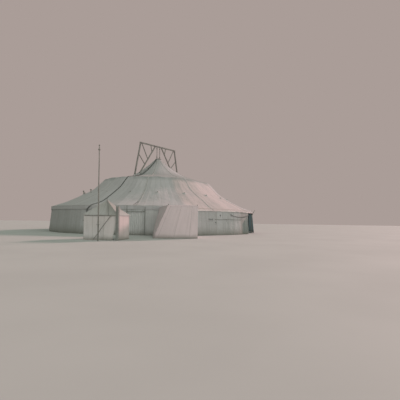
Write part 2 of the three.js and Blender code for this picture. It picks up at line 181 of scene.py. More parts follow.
def addUv(piece, name, values, period=0.0):
    # one pair of numbers for each vertex, kept as a UV map; period is its way round a closed body
    mesh = piece.data
    corner = np.zeros(len(mesh.loops), int)
    mesh.loops.foreach_get("vertex_index", corner)
    pairs = np.asarray(values, float).reshape(-1, 2)[corner]
    if period:
        starts = np.zeros(len(mesh.polygons), int)
        totals = np.zeros(len(mesh.polygons), int)
        mesh.polygons.foreach_get("loop_start", starts)
        mesh.polygons.foreach_get("loop_total", totals)
        highest = np.repeat(np.maximum.reduceat(pairs[:, 0], starts), totals)
        pairs[:, 0] += np.where(highest - pairs[:, 0] > period / 2, period, 0)
    layer = mesh.uv_layers.new(name=name)
    layer.data.foreach_set("uv", pairs.ravel())


def clothSheet(name, grid, material, cut, gore=None, closed=False):
    # grid is rows x columns x 3 points; cut holds metres along and down the cloth
    rows, cols = grid.shape[:2]
    piece = newObject(name, grid, gridFaces(rows, cols, closed), material)
    addUv(piece, "cloth", cut)
    addUv(piece, "gore", cut if gore is None else gore)
    return piece


def lengthsAlong(points):
    steps = np.linalg.norm(np.diff(points, axis=0), axis=1)
    return np.concatenate([[0], np.cumsum(steps)])


def sweep(name, path, sections, material):
    # A body swept along a path. sections is steps x sides x 2: offsets across and up.
    path = np.asarray(path, float)
    steps, sides = sections.shape[:2]
    along = np.gradient(path, axis=0)
    along /= np.linalg.norm(along, axis=1)[:, None]
    level = np.cross(along, (0, 0, 1.0))
    size = np.linalg.norm(level, axis=1)[:, None]
    side = np.where(size > 1e-4, level / np.maximum(size, 1e-4), (1.0, 0, 0))
    for i in range(1, steps):  # keep the frame from flipping on upright stretches
        kept = side[i - 1] - along[i] * np.dot(side[i - 1], along[i])
        kept /= np.linalg.norm(kept)
        if size[i][0] < 0.2 or np.dot(kept, side[i]) < 0:
            side[i] = kept
    up = np.cross(side, along)
    points = path[:, None] + sections[..., :1] * side[:, None] + sections[..., 1:] * up[:, None]
    piece = newObject(name, points, rodFaces(steps, sides), material)
    turn = np.linspace(0, 1, sides, endpoint=False)
    cut = together(turn[None, :], lengthsAlong(path)[:, None])
    addUv(piece, "cloth", cut, period=1.0)
    return piece


def circleTurns(sides):
    return np.linspace(0, math.tau, sides, endpoint=False)


def cordAlong(name, path, radius, sides, material):
    # a thin plain cord, too fine for its strands to show
    turn = circleTurns(sides)
    circle = together(np.cos(turn), np.sin(turn)) * radius
    return sweep(name, path, np.broadcast_to(circle, (len(path), sides, 2)), material)


def pointAt(path, distance, at):
    # the points that lie this far along a path
    return together(*(np.interp(at, distance, path[:, k]) for k in range(3)))


def resample(path, spacing):
    path = np.asarray(path, float)
    distance = lengthsAlong(path)
    count = max(int(distance[-1] / spacing) + 1, 2)
    return pointAt(path, distance, np.linspace(0, distance[-1], count))


def ropeAlong(name, path, radius, material, fine=3.0):
    # A laid rope of three strands along a path.
    path = resample(path, radius * fine)
    turn = circleTurns(9)
    twist = lengthsAlong(path)[:, None] / (radius * 11) * math.tau
    lobes = radius * (0.9 + 0.14 * np.cos(3 * turn[None, :] - twist))
    sections = together(lobes * np.cos(turn), lobes * np.sin(turn))
    return sweep(name, path, sections, material)


def standing(place, angle, x, y, z):
    # x, y, z in a frame that stands at place beside the tent's middle, turned by angle
    turn = math.radians(angle)
    worldX = middleX + place[0] + x * math.cos(turn) - y * math.sin(turn)
    worldY = middleY + place[1] + x * math.sin(turn) + y * math.cos(turn)
    return together(worldX, worldY, z)


def joined(name, pieces):
    # Several meshes as one piece.
    kept = pieces[0]
    if len(pieces) > 1:
        with bpy.context.temp_override(active_object=kept, selected_editable_objects=pieces):
            bpy.ops.object.join()
    kept.name = name
    kept.data.name = name
    return kept


# Shader node groups. Each gives colours, masks or heights; the shaders stay in the materials.
def put(tree, kind, inputs=None, **settings):
    node = tree.nodes.new("ShaderNode" + kind)
    for label, value in settings.items():
        setattr(node, label, value)
    for label, value in (inputs or {}).items():
        if isinstance(value, bpy.types.NodeSocket):
            tree.links.new(value, node.inputs[label])
        else:
            node.inputs[label].default_value = value
    return node


def calc(tree, operation, first, second=0.0, third=0.0, clamp=False):
    inputs = {0: first, 1: second}
    if operation in ("MULTIPLY_ADD", "COMPARE", "SMOOTH_MIN", "SMOOTH_MAX"):
        inputs[2] = third
    return put(tree, "Math", inputs, operation=operation, use_clamp=clamp).outputs[0]


def noise(tree, vector, scale, detail, roughness=0.5):
    inputs = {"Vector": vector, "Scale": scale, "Detail": detail, "Roughness": roughness}
    return put(tree, "TexNoise", inputs).outputs[0]


def stretched(tree, vector, factors):
    return put(tree, "VectorMath", {0: vector, 1: factors}, operation="MULTIPLY").outputs[0]


def blendColour(tree, amount, first, second, way="MIX"):
    node = put(tree, "Mix", {0: amount}, data_type="RGBA", blend_type=way)
    for slotNumber, value in ((6, first), (7, second)):
        if isinstance(value, bpy.types.NodeSocket):
            tree.links.new(value, node.inputs[slotNumber])
        else:
            node.inputs[slotNumber].default_value = (*value, 1.0)
    return node.outputs[2]


def band(tree, value, low, high, fromValue=0.0, toValue=1.0):
    # a smooth step from one value to another
    node = put(tree, "MapRange", {0: value, 1: low, 2: high, 3: fromValue, 4: toValue})
    node.interpolation_type = "SMOOTHSTEP"
    return node.outputs[0]


def tinted(tree, colour, mask, share, tint):
    # the colour goes over to the tint by a share of the mask
    return blendColour(tree, calc(tree, "MULTIPLY", mask, share), colour, tint)


def newGroup(name, inputs, outputs):
    group = bpy.data.node_groups.new(name, "ShaderNodeTree")
    for label, kind, value in inputs:
        socket = group.interface.new_socket(label, in_out="INPUT", socket_type="NodeSocket" + kind)
        if value is not None:
            socket.default_value = value
    for label, kind in outputs:
        group.interface.new_socket(label, in_out="OUTPUT", socket_type="NodeSocket" + kind)
    entry = group.nodes.new("NodeGroupInput")
    leave = group.nodes.new("NodeGroupOutput")
    return group, entry.outputs, leave.inputs


def clothWeaveGroup():
    # Plain weave of a heavy cotton duck, with thicker threads here and there.
    group, given, result = newGroup(
        "clothWeave",
        [("Vector", "Vector", None), ("Threads", "Float", 220.0), ("Slubs", "Float", 0.5)],
        [("Height", "Float"), ("Tone", "Float")],
    )
    split = put(group, "SeparateXYZ", {0: given["Vector"]}).outputs
    crossed = []
    for axis in (0, 1):
        turn = calc(group, "MULTIPLY", split[axis], given["Threads"])
        crossed.append(calc(group, "SINE", calc(group, "MULTIPLY", turn, math.tau)))
    over = calc(group, "MULTIPLY", crossed[0], crossed[1])
    slubs = []
    for factors in ((3.0, 60.0, 1.0), (60.0, 3.0, 1.0)):
        slubs.append(noise(group, stretched(group, given["Vector"], factors), 1.0, 4.0))
    slub = calc(group, "MULTIPLY", calc(group, "ADD", *slubs), given["Slubs"])
    height = calc(group, "MULTIPLY_ADD", over, 0.5, slub)
    group.links.new(height, result["Height"])
    group.links.new(calc(group, "MULTIPLY", slub, 0.5, clamp=True), result["Tone"])
    return group


def weatheringGroup():
    # Rain stains, streaks that run down, and splashes near the ground.
    group, given, result = newGroup(
        "weathering",
        [
            ("Position", "Vector", None),
            ("Run", "Vector", None),
            ("Size", "Float", 1.0),
            ("Splash Height", "Float", 0.5),
        ],
        [("Stain", "Float"), ("Streak", "Float"), ("Splash", "Float")],
    )
    scale = calc(group, "DIVIDE", 0.45, given["Size"])
    place = given["Position"]
    cloud = noise(group, place, scale, 7.0, 0.62)
    group.links.new(band(group, cloud, 0.42, 0.72), result["Stain"])
    # Run holds metres along and down the cloth, so streaks follow the slope.
    runs = noise(group, stretched(group, given["Run"], (5.0, 0.35, 1.0)), 1.0, 5.0, 0.6)
    group.links.new(band(group, runs, 0.48, 0.75), result["Streak"])
    height = put(group, "SeparateXYZ", {0: place}).outputs[2]
    edge = noise(group, place, 2.5, 5.0)
    reach = calc(group, "MULTIPLY_ADD", edge, given["Splash Height"], given["Splash Height"])
    near = calc(group, "SUBTRACT", 1.0, calc(group, "DIVIDE", height, reach), clamp=True)
    group.links.new(calc(group, "POWER", near, 1.6), result["Splash"])
    return group


def clothSeamsGroup():
    # Sewn joints between the strips of a sheet. Step is a strip's width in Across's own unit,
    # and Unit is how many metres one of those measures.
    group, given, result = newGroup(
        "clothSeams",
        [
            ("Across", "Float", 0.0),
            ("Unit", "Float", 1.0),
            ("Step", "Float", 1.0),
            ("Width", "Float", 0.03),
        ],
        [("Seam", "Float"), ("Stitch", "Float"), ("Strip", "Float"), ("Height", "Float")],
    )
    turns = calc(group, "DIVIDE", given["Across"], given["Step"])
    whole = calc(group, "FLOOR", turns)
    part = calc(group, "SUBTRACT", turns, whole)
    near = calc(group, "MINIMUM", part, calc(group, "SUBTRACT", 1.0, part))
    metres = calc(group, "MULTIPLY", calc(group, "MULTIPLY", near, given["Step"]), given["Unit"])
    half = calc(group, "MULTIPLY", given["Width"], 0.5)
    seam = calc(group, "SUBTRACT", 1.0, band(group, metres, calc(group, "MULTIPLY", half, 0.8), half))
    group.links.new(seam, result["Seam"])
    row = calc(group, "MULTIPLY", half, 0.75)
    fromRow = calc(group, "ABSOLUTE", calc(group, "SUBTRACT", metres, row))
    group.links.new(calc(group, "SUBTRACT", 1.0, band(group, fromRow, 0.001, 0.003)), result["Stitch"])
    tone = put(group, "TexWhiteNoise", {"W": whole}, noise_dimensions="1D").outputs[0]
    group.links.new(tone, result["Strip"])
    group.links.new(seam, result["Height"])
    return group


def woodGrainGroup():
    # Grain along Y, drying cracks and knots of a barked and weathered softwood pole.
    group, given, result = newGroup(
        "woodGrain",
        [("Vector", "Vector", None), ("Size", "Float", 1.0)],
        [("Grain", "Float"), ("Crack", "Float"), ("Patch", "Float"), ("Height", "Float")],
    )
    inputs = {0: given["Vector"], "Scale": given["Size"]}
    scaled = put(group, "VectorMath", inputs, operation="SCALE").outputs[0]

    def drawn(across, along, detail, roughness):
        return noise(group, stretched(group, scaled, (across, along, across)), 1.0, detail, roughness)

    grain = drawn(46.0, 2.2, 7.0, 0.65)
    lines = calc(group, "SINE", calc(group, "MULTIPLY", drawn(9.0, 0.5, 3.0, 0.5), 60.0))
    crack = calc(group, "SUBTRACT", 1.0, band(group, drawn(24.0, 0.7, 3.0, 0.5), 0.30, 0.36))
    patch = band(group, drawn(2.0, 0.9, 4.0, 0.6), 0.35, 0.7)
    shade = calc(group, "MULTIPLY_ADD", lines, 0.12, grain, clamp=True)
    group.links.new(shade, result["Grain"])
    group.links.new(crack, result["Crack"])
    group.links.new(patch, result["Patch"])
    group.links.new(calc(group, "MULTIPLY_ADD", crack, -1.0, shade), result["Height"])
    return group


def edgeWearGroup():
    # Rubbed edges.
    group, given, result = newGroup(
        "edgeWear",
        [("Position", "Vector", None), ("Reach", "Float", 0.05)],
        [("Wear", "Float")],
    )
    sharp = put(group, "NewGeometry").outputs["Pointiness"]
    uneven = noise(group, given["Position"], 14.0, 5.0)
    high = band(group, calc(group, "SUBTRACT", sharp, 0.5), 0.0, given["Reach"])
    group.links.new(calc(group, "MULTIPLY", high, band(group, uneven, 0.35, 0.6)), result["Wear"])
    return group


groups = {
    "weave": clothWeaveGroup(),
    "weathering": weatheringGroup(),
    "seams": clothSeamsGroup(),
    "grain": woodGrainGroup(),
    "wear": edgeWearGroup(),
}
print("shader groups built:", len(groups))


# Materials
def newMaterial(name):
    material = bpy.data.materials.new(name)
    material.use_nodes = True
    tree = material.node_tree
    tree.nodes.clear()
    leave = tree.nodes.new("ShaderNodeOutputMaterial")
    body = tree.nodes.new("ShaderNodeBsdfPrincipled")
    tree.links.new(body.outputs[0], leave.inputs[0])
    return material, tree, body, leave


def placeGroup(tree, name, inputs):
    return put(tree, "Group", inputs, node_tree=groups[name]).outputs


def bumped(tree, body, heights):
    # heights is a list of (height, distance in metres), the coarse ones first
    normal = None
    for height, distance in heights:
        inputs = {"Height": height, "Distance": distance, "Strength": 1.0}
        if normal is not None:
            inputs["Normal"] = normal
        normal = put(tree, "Bump", inputs).outputs[0]
    tree.links.new(normal, body.inputs["Normal"])


plainCanvas = {"step": 0.92, "stained": 0.4, "streaked": 0.25, "splash": 0.3, "through": 0.12}
canvasLooks = {
    # colours of the cloth, of its dull strips and of its stains; then what differs from plainCanvas:
    # seam step in the sheet's unit, how stained, streaked and splashed, how much light comes through
    "roofCanvas": {
        "cloth": (0.51, 0.50, 0.515), "dull": (0.41, 0.405, 0.415), "stain": (0.32, 0.315, 0.30),
        "step": 4.0, "stained": 0.55, "streaked": 0.35, "splash": 0.01, "through": 0.05,
    },
    "wallCanvas": {
        "cloth": (0.565, 0.56, 0.57), "dull": (0.44, 0.44, 0.44), "stain": (0.29, 0.285, 0.27),
        "stained": 0.6, "streaked": 0.5, "splash": 0.7, "through": 0.16,
    },
    # painted light: the booth cloth is paler and pinker so that its front, in shade, looks lit
    "boothCanvas": {
        "cloth": (0.76, 0.70, 0.70), "dull": (0.66, 0.615, 0.615), "stain": (0.40, 0.37, 0.35),
    },
    # painted light: a copy of the booth cloth for its sunlit right wall, darker and pinker
    "boothLitSideCanvas": {
        "cloth": (0.665, 0.57, 0.565), "dull": (0.57, 0.50, 0.49), "stain": (0.37, 0.33, 0.31),
    },
    # painted light: a paler copy of the wall cloth for the curtain and the front wall, against the
    # shade of the eave and the porch
    "frontLitCanvas": {
        "cloth": (0.66, 0.66, 0.67), "dull": (0.54, 0.54, 0.54), "stain": (0.36, 0.355, 0.34),
        "stained": 0.5, "streaked": 0.4, "splash": 0.5,
    },
    # painted shade: the flap in the open bay is dark grey-green cloth
    "flapShadeCanvas": {
        "cloth": (0.288, 0.31, 0.299), "dull": (0.209, 0.23, 0.223), "stain": (0.144, 0.158, 0.155),
        "stained": 0.6, "streaked": 0.5, "splash": 0.35,
    },
    # painted shade: a darker copy of the booth cloth for its roof
    "boothRoofShadeCanvas": {
        "cloth": (0.485, 0.48, 0.475), "dull": (0.42, 0.42, 0.415), "stain": (0.30, 0.295, 0.27),
        "stained": 0.45, "streaked": 0.35, "splash": 0.01, "through": 0.04,
    },
    # painted light: pale pink cloth so that the porch, in shade, looks lit
    "porchLitCanvas": {
        "cloth": (0.80, 0.67, 0.695), "dull": (0.69, 0.59, 0.61), "stain": (0.46, 0.40, 0.40),
        "stained": 0.35, "streaked": 0.22,
    },
    # painted shade: the near-black roll of canvas above the shoulder
    "rollShadeCanvas": {
        "cloth": (0.13, 0.14, 0.135), "dull": (0.085, 0.095, 0.09), "stain": (0.05, 0.055, 0.05),
        "step": 9.0, "stained": 0.6, "streaked": 0.5, "splash": 0.01, "through": 0.02,
    },
    "webbing": {
        "cloth": (0.50, 0.495, 0.50), "dull": (0.41, 0.41, 0.41), "stain": (0.31, 0.305, 0.28),
        "step": 9.0, "stained": 0.6, "streaked": 0.4, "splash": 0.01, "through": 0.05,
    },
}
# Painted light, painted shade and darkening in one place of a sheet. A pair is where a change starts
# and where it is done.
localLooks = {
    "paintedLightStart": (281.0, 285.0),  # degrees round the roof
    "paintedLightEnd": (334.0, 340.0),
    "paintedLightFrom": (5.0, 7.2),  # metres from the tent's middle
    "paintedLightCloth": (0.56, 0.485, 0.485),
    "valanceFrom": (13.19, 13.198),
    "paintedLightValance": (0.86, 0.75, 0.75),
    "ledgeStart": (2.9, 4.6),
    "ledgeEnd": (7.0, 7.6),
    "ledgeShade": 0.84,
    "ledgeShadeColour": (0.27, 0.295, 0.29),
    "peakHeight": (1.95, 2.75),  # the booth's roof
    "peakDarkening": (0.0, 0.45),
    "slopeFrom": (-3.95, -3.6),
    "slopeHeight": (1.9, 2.5),
    "slopeShade": (0.4, 0.9),
    "paintedShadeSide": (-4.5, -11.0),
    "paintedShadeAmount": {"roofCanvas": 0.30, "wallCanvas": 0.34},
    "openBayShadeFrom": (9.1, 9.7),  # the wall beside the open bay
    "openBayShadeDeep": (-1.5, -0.5),
    "openBayShade": (0.85, 0.0),
}


def within(tree, value, start, end):
    # 1 between two places, fading over each of them
    return calc(tree, "MULTIPLY", band(tree, value, *start), band(tree, value, *end, 1.0, 0.0))


def localColour(tree, name, colour, stainColour, position, gore, stain):
    own = localLooks
    sideways, inwards, height = put(tree, "SeparateXYZ", {0: position}).outputs
    if name == "roofCanvas":
        # painted light: the sunlit strips below the shoulder are painted paler and pinker, their
        # valance palest
        sunlitStrips = within(tree, gore[0], own["paintedLightStart"], own["paintedLightEnd"])
        sunlitStrips = calc(tree, "MULTIPLY", sunlitStrips, band(tree, gore[1], *own["paintedLightFrom"]))
        valance = band(tree, gore[1], *own["valanceFrom"])
        sunlitColour = blendColour(tree, valance, own["paintedLightCloth"], own["paintedLightValance"])
        colour = blendColour(tree, sunlitStrips, colour, sunlitColour)
        # painted shade on the flat ledge above the shoulder, where the cloth faces the sky; its edge
        # wanders with the stains
        reach = calc(tree, "MULTIPLY_ADD", stain, 0.5, gore[1])
        ledge = within(tree, reach, own["ledgeStart"], own["ledgeEnd"])
        colour = tinted(tree, colour, ledge, own["ledgeShade"], own["ledgeShadeColour"])
    if name == "boothRoofShadeCanvas":
        # darker towards the peak, and painted shade over the whole slope on the right
        peak = band(tree, height, *own["peakHeight"], *own["peakDarkening"])
        slope = band(tree, height, *own["slopeHeight"], *own["slopeShade"])
        slope = calc(tree, "MULTIPLY", band(tree, sideways, *own["slopeFrom"]), slope)
        colour = blendColour(tree, calc(tree, "MAXIMUM", peak, slope), colour, stainColour)
    if name in own["paintedShadeAmount"]:
        # painted shade: the left side, away from the sun, is painted darker
        leftShade = band(tree, sideways, *own["paintedShadeSide"], 0.0, own["paintedShadeAmount"][name])
        colour = blendColour(tree, leftShade, colour, stainColour)
    if name == "wallCanvas":
        # painted shade: the wall's edge beside the open bay is painted darker
        bayEdgeShade = band(tree, inwards, *own["openBayShadeDeep"], *own["openBayShade"])
        bayEdgeShade = calc(tree, "MULTIPLY", band(tree, sideways, *own["openBayShadeFrom"]), bayEdgeShade)
        colour = blendColour(tree, bayEdgeShade, colour, stainColour)
    return colour


def canvasMaterial(name):
    look = plainCanvas | canvasLooks[name]
    material, tree, body, leave = newMaterial(name)
    position = put(tree, "TexCoord").outputs["Object"]
    cloth = put(tree, "UVMap", uv_map="cloth").outputs[0]
    gore = put(tree, "SeparateXYZ", {0: put(tree, "UVMap", uv_map="gore").outputs[0]}).outputs
    # On the roof the gore map holds degrees and radius, on the other sheets metres.
    unit = calc(tree, "MULTIPLY", gore[1], math.tau / 360) if name == "roofCanvas" else 1.0
    inputs = {"Across": gore[0], "Unit": unit, "Step": look["step"], "Width": 0.05}
    seams = placeGroup(tree, "seams", inputs)
    weave = placeGroup(tree, "weave", {"Vector": cloth})
    inputs = {"Position": position, "Run": cloth, "Splash Height": look["splash"]}
    weather = placeGroup(tree, "weathering", inputs)
    tone = calc(tree, "MULTIPLY_ADD", seams["Strip"], 0.55, calc(tree, "MULTIPLY", weave["Tone"], 0.35))
    colour = blendColour(tree, tone, look["cloth"], look["dull"])
    colour = localColour(tree, name, colour, look["stain"], position, gore, weather["Stain"])
    stain = calc(tree, "MULTIPLY", weather["Stain"], look["stained"])
    colour = blendColour(tree, stain, colour, look["dull"])
    colour = tinted(tree, colour, weather["Streak"], look["streaked"], look["stain"])
    splashed = 0.8 if look["splash"] > 0.1 else 0.0
    colour = tinted(tree, colour, weather["Splash"], splashed, (0.17, 0.165, 0.13))
    colour = tinted(tree, colour, seams["Seam"], 0.28, look["stain"])
    colour = tinted(tree, colour, seams["Stitch"], 0.35, (0.18, 0.17, 0.15))
    tree.links.new(colour, body.inputs["Base Color"])
    rough = calc(tree, "MULTIPLY_ADD", weave["Tone"], 0.1, 0.84)
    rough = calc(tree, "SUBTRACT", rough, calc(tree, "MULTIPLY", stain, 0.1))
    tree.links.new(rough, body.inputs["Roughness"])
    body.inputs["Sheen Weight"].default_value = 0.15
    body.inputs["Sheen Roughness"].default_value = 0.6
    body.inputs["Specular IOR Level"].default_value = 0.25
    creases = noise(tree, cloth, 1.6, 6.0, 0.55)
    bumped(tree, body, [(creases, 0.05), (seams["Height"], 0.003), (weave["Height"], 0.0006)])
    # old canvas lets a greenish light through
    passed = blendColour(tree, 1.0, colour, (0.55, 0.95, 1.0), "MULTIPLY")
    glow = put(tree, "BsdfTranslucent", {"Color": passed})
    mixed = put(tree, "MixShader", {0: look["through"], 1: body.outputs[0], 2: glow.outputs[0]})
    tree.links.new(mixed.outputs[0], leave.inputs[0])
    return material


def ropeMaterial(name, fibre, dark):
    material, tree, body, _ = newMaterial(name)
    cloth = put(tree, "UVMap", uv_map="cloth").outputs[0]
    position = put(tree, "TexCoord").outputs["Object"]
    yarn = noise(tree, stretched(tree, cloth, (40.0, 16.0, 1.0)), 1.0, 5.0)
    worn = noise(tree, position, 3.0, 5.0)
    colour = blendColour(tree, band(tree, yarn, 0.35, 0.65), dark, fibre)
    colour = blendColour(tree, band(tree, worn, 0.45, 0.75, 0.0, 0.6), colour, dark)
    tree.links.new(colour, body.inputs["Base Color"])
    tree.links.new(calc(tree, "MULTIPLY_ADD", yarn, 0.15, 0.8), body.inputs["Roughness"])
    bumped(tree, body, [(yarn, 0.004)])
    return material


def timberMaterial(name, fresh, grey, patchColour, size):
    # woodGrain runs along Y of the grain map
    material, tree, body, _ = newMaterial(name)
    position = put(tree, "TexCoord").outputs["Object"]
    along = put(tree, "UVMap", uv_map="grain").outputs[0]
    grain = placeGroup(tree, "grain", {"Vector": along, "Size": size})
    wear = placeGroup(tree, "wear", {"Position": position, "Reach": 0.08})
    colour = blendColour(tree, grain["Grain"], grey, fresh)
    colour = tinted(tree, colour, grain["Patch"], 0.55, patchColour)
    colour = tinted(tree, colour, grain["Crack"], 0.85, (0.03, 0.028, 0.025))
    colour = tinted(tree, colour, wear["Wear"], 0.6, (0.34, 0.32, 0.28))
    tree.links.new(colour, body.inputs["Base Color"])
    tree.links.new(band(tree, grain["Grain"], 0.2, 0.9, 0.88, 0.7), body.inputs["Roughness"])
    bumped(tree, body, [(grain["Height"], 0.006)])
    return material


def ironMaterial(name, iron, rust, rusty):
    material, tree, body, _ = newMaterial(name)
    position = put(tree, "TexCoord").outputs["Object"]
    blotch = noise(tree, position, 11.0, 8.0, 0.65)
    pits = noise(tree, position, 90.0, 4.0)
    wear = placeGroup(tree, "wear", {"Position": position, "Reach": 0.1})
    rusted = band(tree, blotch, rusty, rusty + 0.2)
    colour = blendColour(tree, rusted, iron, rust)
    colour = tinted(tree, colour, wear["Wear"], 0.7, (0.30, 0.30, 0.30))
    tree.links.new(colour, body.inputs["Base Color"])
    tree.links.new(calc(tree, "MULTIPLY_ADD", rusted, 0.35, 0.45), body.inputs["Roughness"])
    tree.links.new(band(tree, rusted, 0.0, 1.0, 0.85, 0.1), body.inputs["Metallic"])
    bumped(tree, body, [(blotch, 0.004), (pits, 0.0015)])
    return material


ropeLooks = {
    # name: the material's name, colour of the fibre, colour between the yarns
    "hemp": ("hempRope", (0.42, 0.39, 0.33), (0.24, 0.22, 0.19)),
    "hempPale": ("paleRope", (0.50, 0.49, 0.46), (0.34, 0.335, 0.31)),
    "hempDark": ("darkRope", (0.21, 0.20, 0.18), (0.11, 0.11, 0.10)),
    "tarred": ("tarredRope", (0.175, 0.182, 0.175), (0.082, 0.088, 0.086)),
}
timberLooks = {
    # name: the material's name, colours of fresh wood, grey wood and dark patches, grain size
    "timber": ("weatheredTimber", (0.31, 0.30, 0.28), (0.175, 0.18, 0.175), (0.095, 0.095, 0.09), 1.0),
    "pole": ("peeledPole", (0.24, 0.235, 0.215), (0.13, 0.135, 0.13), (0.08, 0.08, 0.078), 1.3),
    "postTimber": ("postTimber", (0.295, 0.315, 0.305), (0.20, 0.215, 0.21), (0.12, 0.125, 0.12), 1.0),
}
materials = {name: canvasMaterial(name) for name in canvasLooks}
materials |= {name: ropeMaterial(*look) for name, look in ropeLooks.items()}
materials |= {name: timberMaterial(*look) for name, look in timberLooks.items()}
materials["iron"] = ironMaterial("blackIron", (0.055, 0.055, 0.058), (0.13, 0.06, 0.03), 0.55)
print("materials built:", len(materials))


# The roof: one surface for all ten sections, worked out at any angle and distance down it.
roofLook = {
    # distance from the tent's middle, height
    "crown": (
        (0.3, 9.84), (1.3, 8.91), (2.8, 7.91), (4.2, 7.20), (5.6, 6.83), (6.72, 6.66), (7.0, 6.60),
    ),
    "skirt": (
        (7.0, 6.60), (7.2, 6.39), (7.6, 5.98), (8.3, 5.30), (9.0, 4.83),
        (9.6, 4.50), (10.5, 4.05), (11.4, 3.61), (12.3, 3.26), (13.2, 2.935),
    ),
    "hem": (13.222, 2.5),
    "valance": 0.43,  # from the eave down to the hem
    "sag": 0.055,  # how far the cloth hangs between two poles
    "peak": 0.06,  # sharp rise over the tip of an outer pole
    "ridge": 0.012,
    "folds": 0.010,
    "wrinkles": 0.004,
    "creases": 0.012,
    "channels": 0.008,
    # slack places: angle, half its width in degrees, radius, half its width in metres, depth
    "slack": ((212, 30, 3.3, 1.7, 0.34), (321, 16, 6.6, 1.5, 0.22), (334, 26, 9.8, 2.4, 0.30)),
    # the eave on the side of the porch and the open bay hangs low, most of it between its poles
    "lowEave": (283.0, 287.0, 344.0, 350.0),
    "lowBy": 0.31,
    "lowReach": 2.6,
    "scallop": 0.035,
    "rows": 150,
    "columns": 90,
    "seamGap": 0.03,  # degrees, half the joint between two sections
}
crownLine = smoothLine(roofLook["crown"], 90)
skirtLine = smoothLine(roofLook["skirt"], 110)
roofRadii = np.concatenate([crownLine[:, 0], skirtLine[1:, 0]])
roofHeights = np.concatenate([crownLine[:, 1], skirtLine[1:, 1]])
roofSteps = np.hypot(np.diff(roofRadii), np.diff(roofHeights))
roofShare = np.concatenate([[0], np.cumsum(roofSteps)]) / roofSteps.sum()
roofRun = roofSteps.sum()  # metres of cloth from the crown ring to the eave


def fromPole(angle, step):
    # degrees to the nearest pole of a ring, with a sign
    return (np.asarray(angle) + step / 2) % step - step / 2


def bump(value, middle, width):
    return np.exp(-(((value - middle) / width) ** 2))


def roofHeight(angle, radius):
    # height of the canvas, with its sag, ridges and folds
    angle, radius = np.broadcast_arrays(np.asarray(angle, float), np.asarray(radius, float))
    height = np.interp(radius, roofRadii, roofHeights)
    low = np.clip((radius - 5.2) / 1.8, 0, 1) * np.clip((13.25 - radius) / 1.2, 0.25, 1)
    bay = np.cos(np.radians(angle * 360 / tentShape["bay"]))
    height = height - roofLook["sag"] * (1 - bay) / 2 * low
    beside = fromPole(angle, tentShape["bay"]) * np.radians(1) * radius  # metres to the pole's line
    reach = np.hypot(beside * 1.5, radius - tentShape["outerPoles"])
    height = height + roofLook["peak"] * np.exp(-reach / 0.3)
    ridge = np.exp(-np.abs(beside) / 0.3) * np.clip((radius - 7.3) / 1.5, 0, 1)
    ridge = ridge * np.clip((13.2 - radius) / 2, 0.2, 1)
    height = height + roofLook["ridge"] * ridge
    # Folds fan out from the shoulder to the eave and are slack between the poles.
    slack = (1 - bay) / 2
    turns = np.radians(angle)
    fan = ripple(turns * 9.5 + (radius - 7) * 0.035, radius * 0.06, 11)
    fine = ripple(turns * 26 + (radius - 9) * 0.12, radius * 0.16, 12)
    under = np.clip((radius - 7.05) / 0.9, 0, 1)
    height = height + roofLook["folds"] * fan * under * (0.45 + 0.55 * slack)
    height = height + roofLook["wrinkles"] * fine * (0.35 + 0.65 * under)
    # Creases run down from the tip of each quarter pole.
    aside = fromPole(angle, tentShape["bay"] * 2) * np.radians(1) * radius
    below = np.maximum(radius - tentShape["shoulder"], 0)
    towards = np.arctan2(aside, below + 0.35)
    crease = np.cos(towards * 17 + 0.8 * ripple(turns * 3, radius * 0.1, 14))
    height = height + roofLook["creases"] * crease * np.clip(below / 0.5, 0, 1) * np.exp(-below / 2.6)
    for middle, wide, at, reach, depth in roofLook["slack"]:
        off = (angle - middle + 180) % 360 - 180
        height = height - depth * bump(off, 0, wide) * bump(radius, at, reach)
    low = roofLook["lowEave"]
    onLowSide = np.interp(angle % 360, low, (0, 1, 1, 0))
    outer = np.clip((radius - tentShape["eave"]) / roofLook["lowReach"] + 1, 0, 1)
    lowered = onLowSide * outer * outer * (3 - 2 * outer) * (0.86 + 0.14 * slack * 2)
    height = height - roofLook["lowBy"] * lowered
    # Long shallow channels run up to the crown ring.
    steep = np.clip((7.0 - radius) / 1.5, 0, 1) * np.clip((radius - 0.3) / 2.0, 0, 1)
    height = height + roofLook["channels"] * steep * ripple(turns * 5.5, radius * 0.05, 13)
    return height


def hemHeight(angle):
    # the valance is scalloped, four scallops to a bay
    scallop = np.abs(np.sin(np.radians(angle * 180 / 4.5)))
    return roofLook["hem"][1] + roofLook["scallop"] * scallop


def eaveRadius(angle, height):
    # the valance hangs from the eave and bellies a little between its ties
    drop = np.clip((roofLook["hem"][1] - height) / roofLook["valance"] + 1, 0, 1)
    belly = ripple(np.radians(angle) * 13.2 * 1.1, height * 0.6, 21)
    return roofLook["hem"][0] + 0.012 * drop + 0.014 * belly * drop


def roofPoints(angle, down):
    # down runs from 0 at the crown ring over 1 at the eave to 2 at the valance hem.
    inner = np.clip(down, 0, 1)
    radius = np.interp(inner, roofShare, roofRadii)
    onRoof = around(angle, radius, roofHeight(angle, radius))
    lower = np.clip(down - 1, 0, 1)
    top = roofHeight(angle, tentShape["eave"] * np.ones_like(radius))
    height = top + (hemHeight(angle) - top) * lower
    hanging = around(angle, eaveRadius(angle, height), height)
    return np.where((down > 1)[..., None], hanging, onRoof)


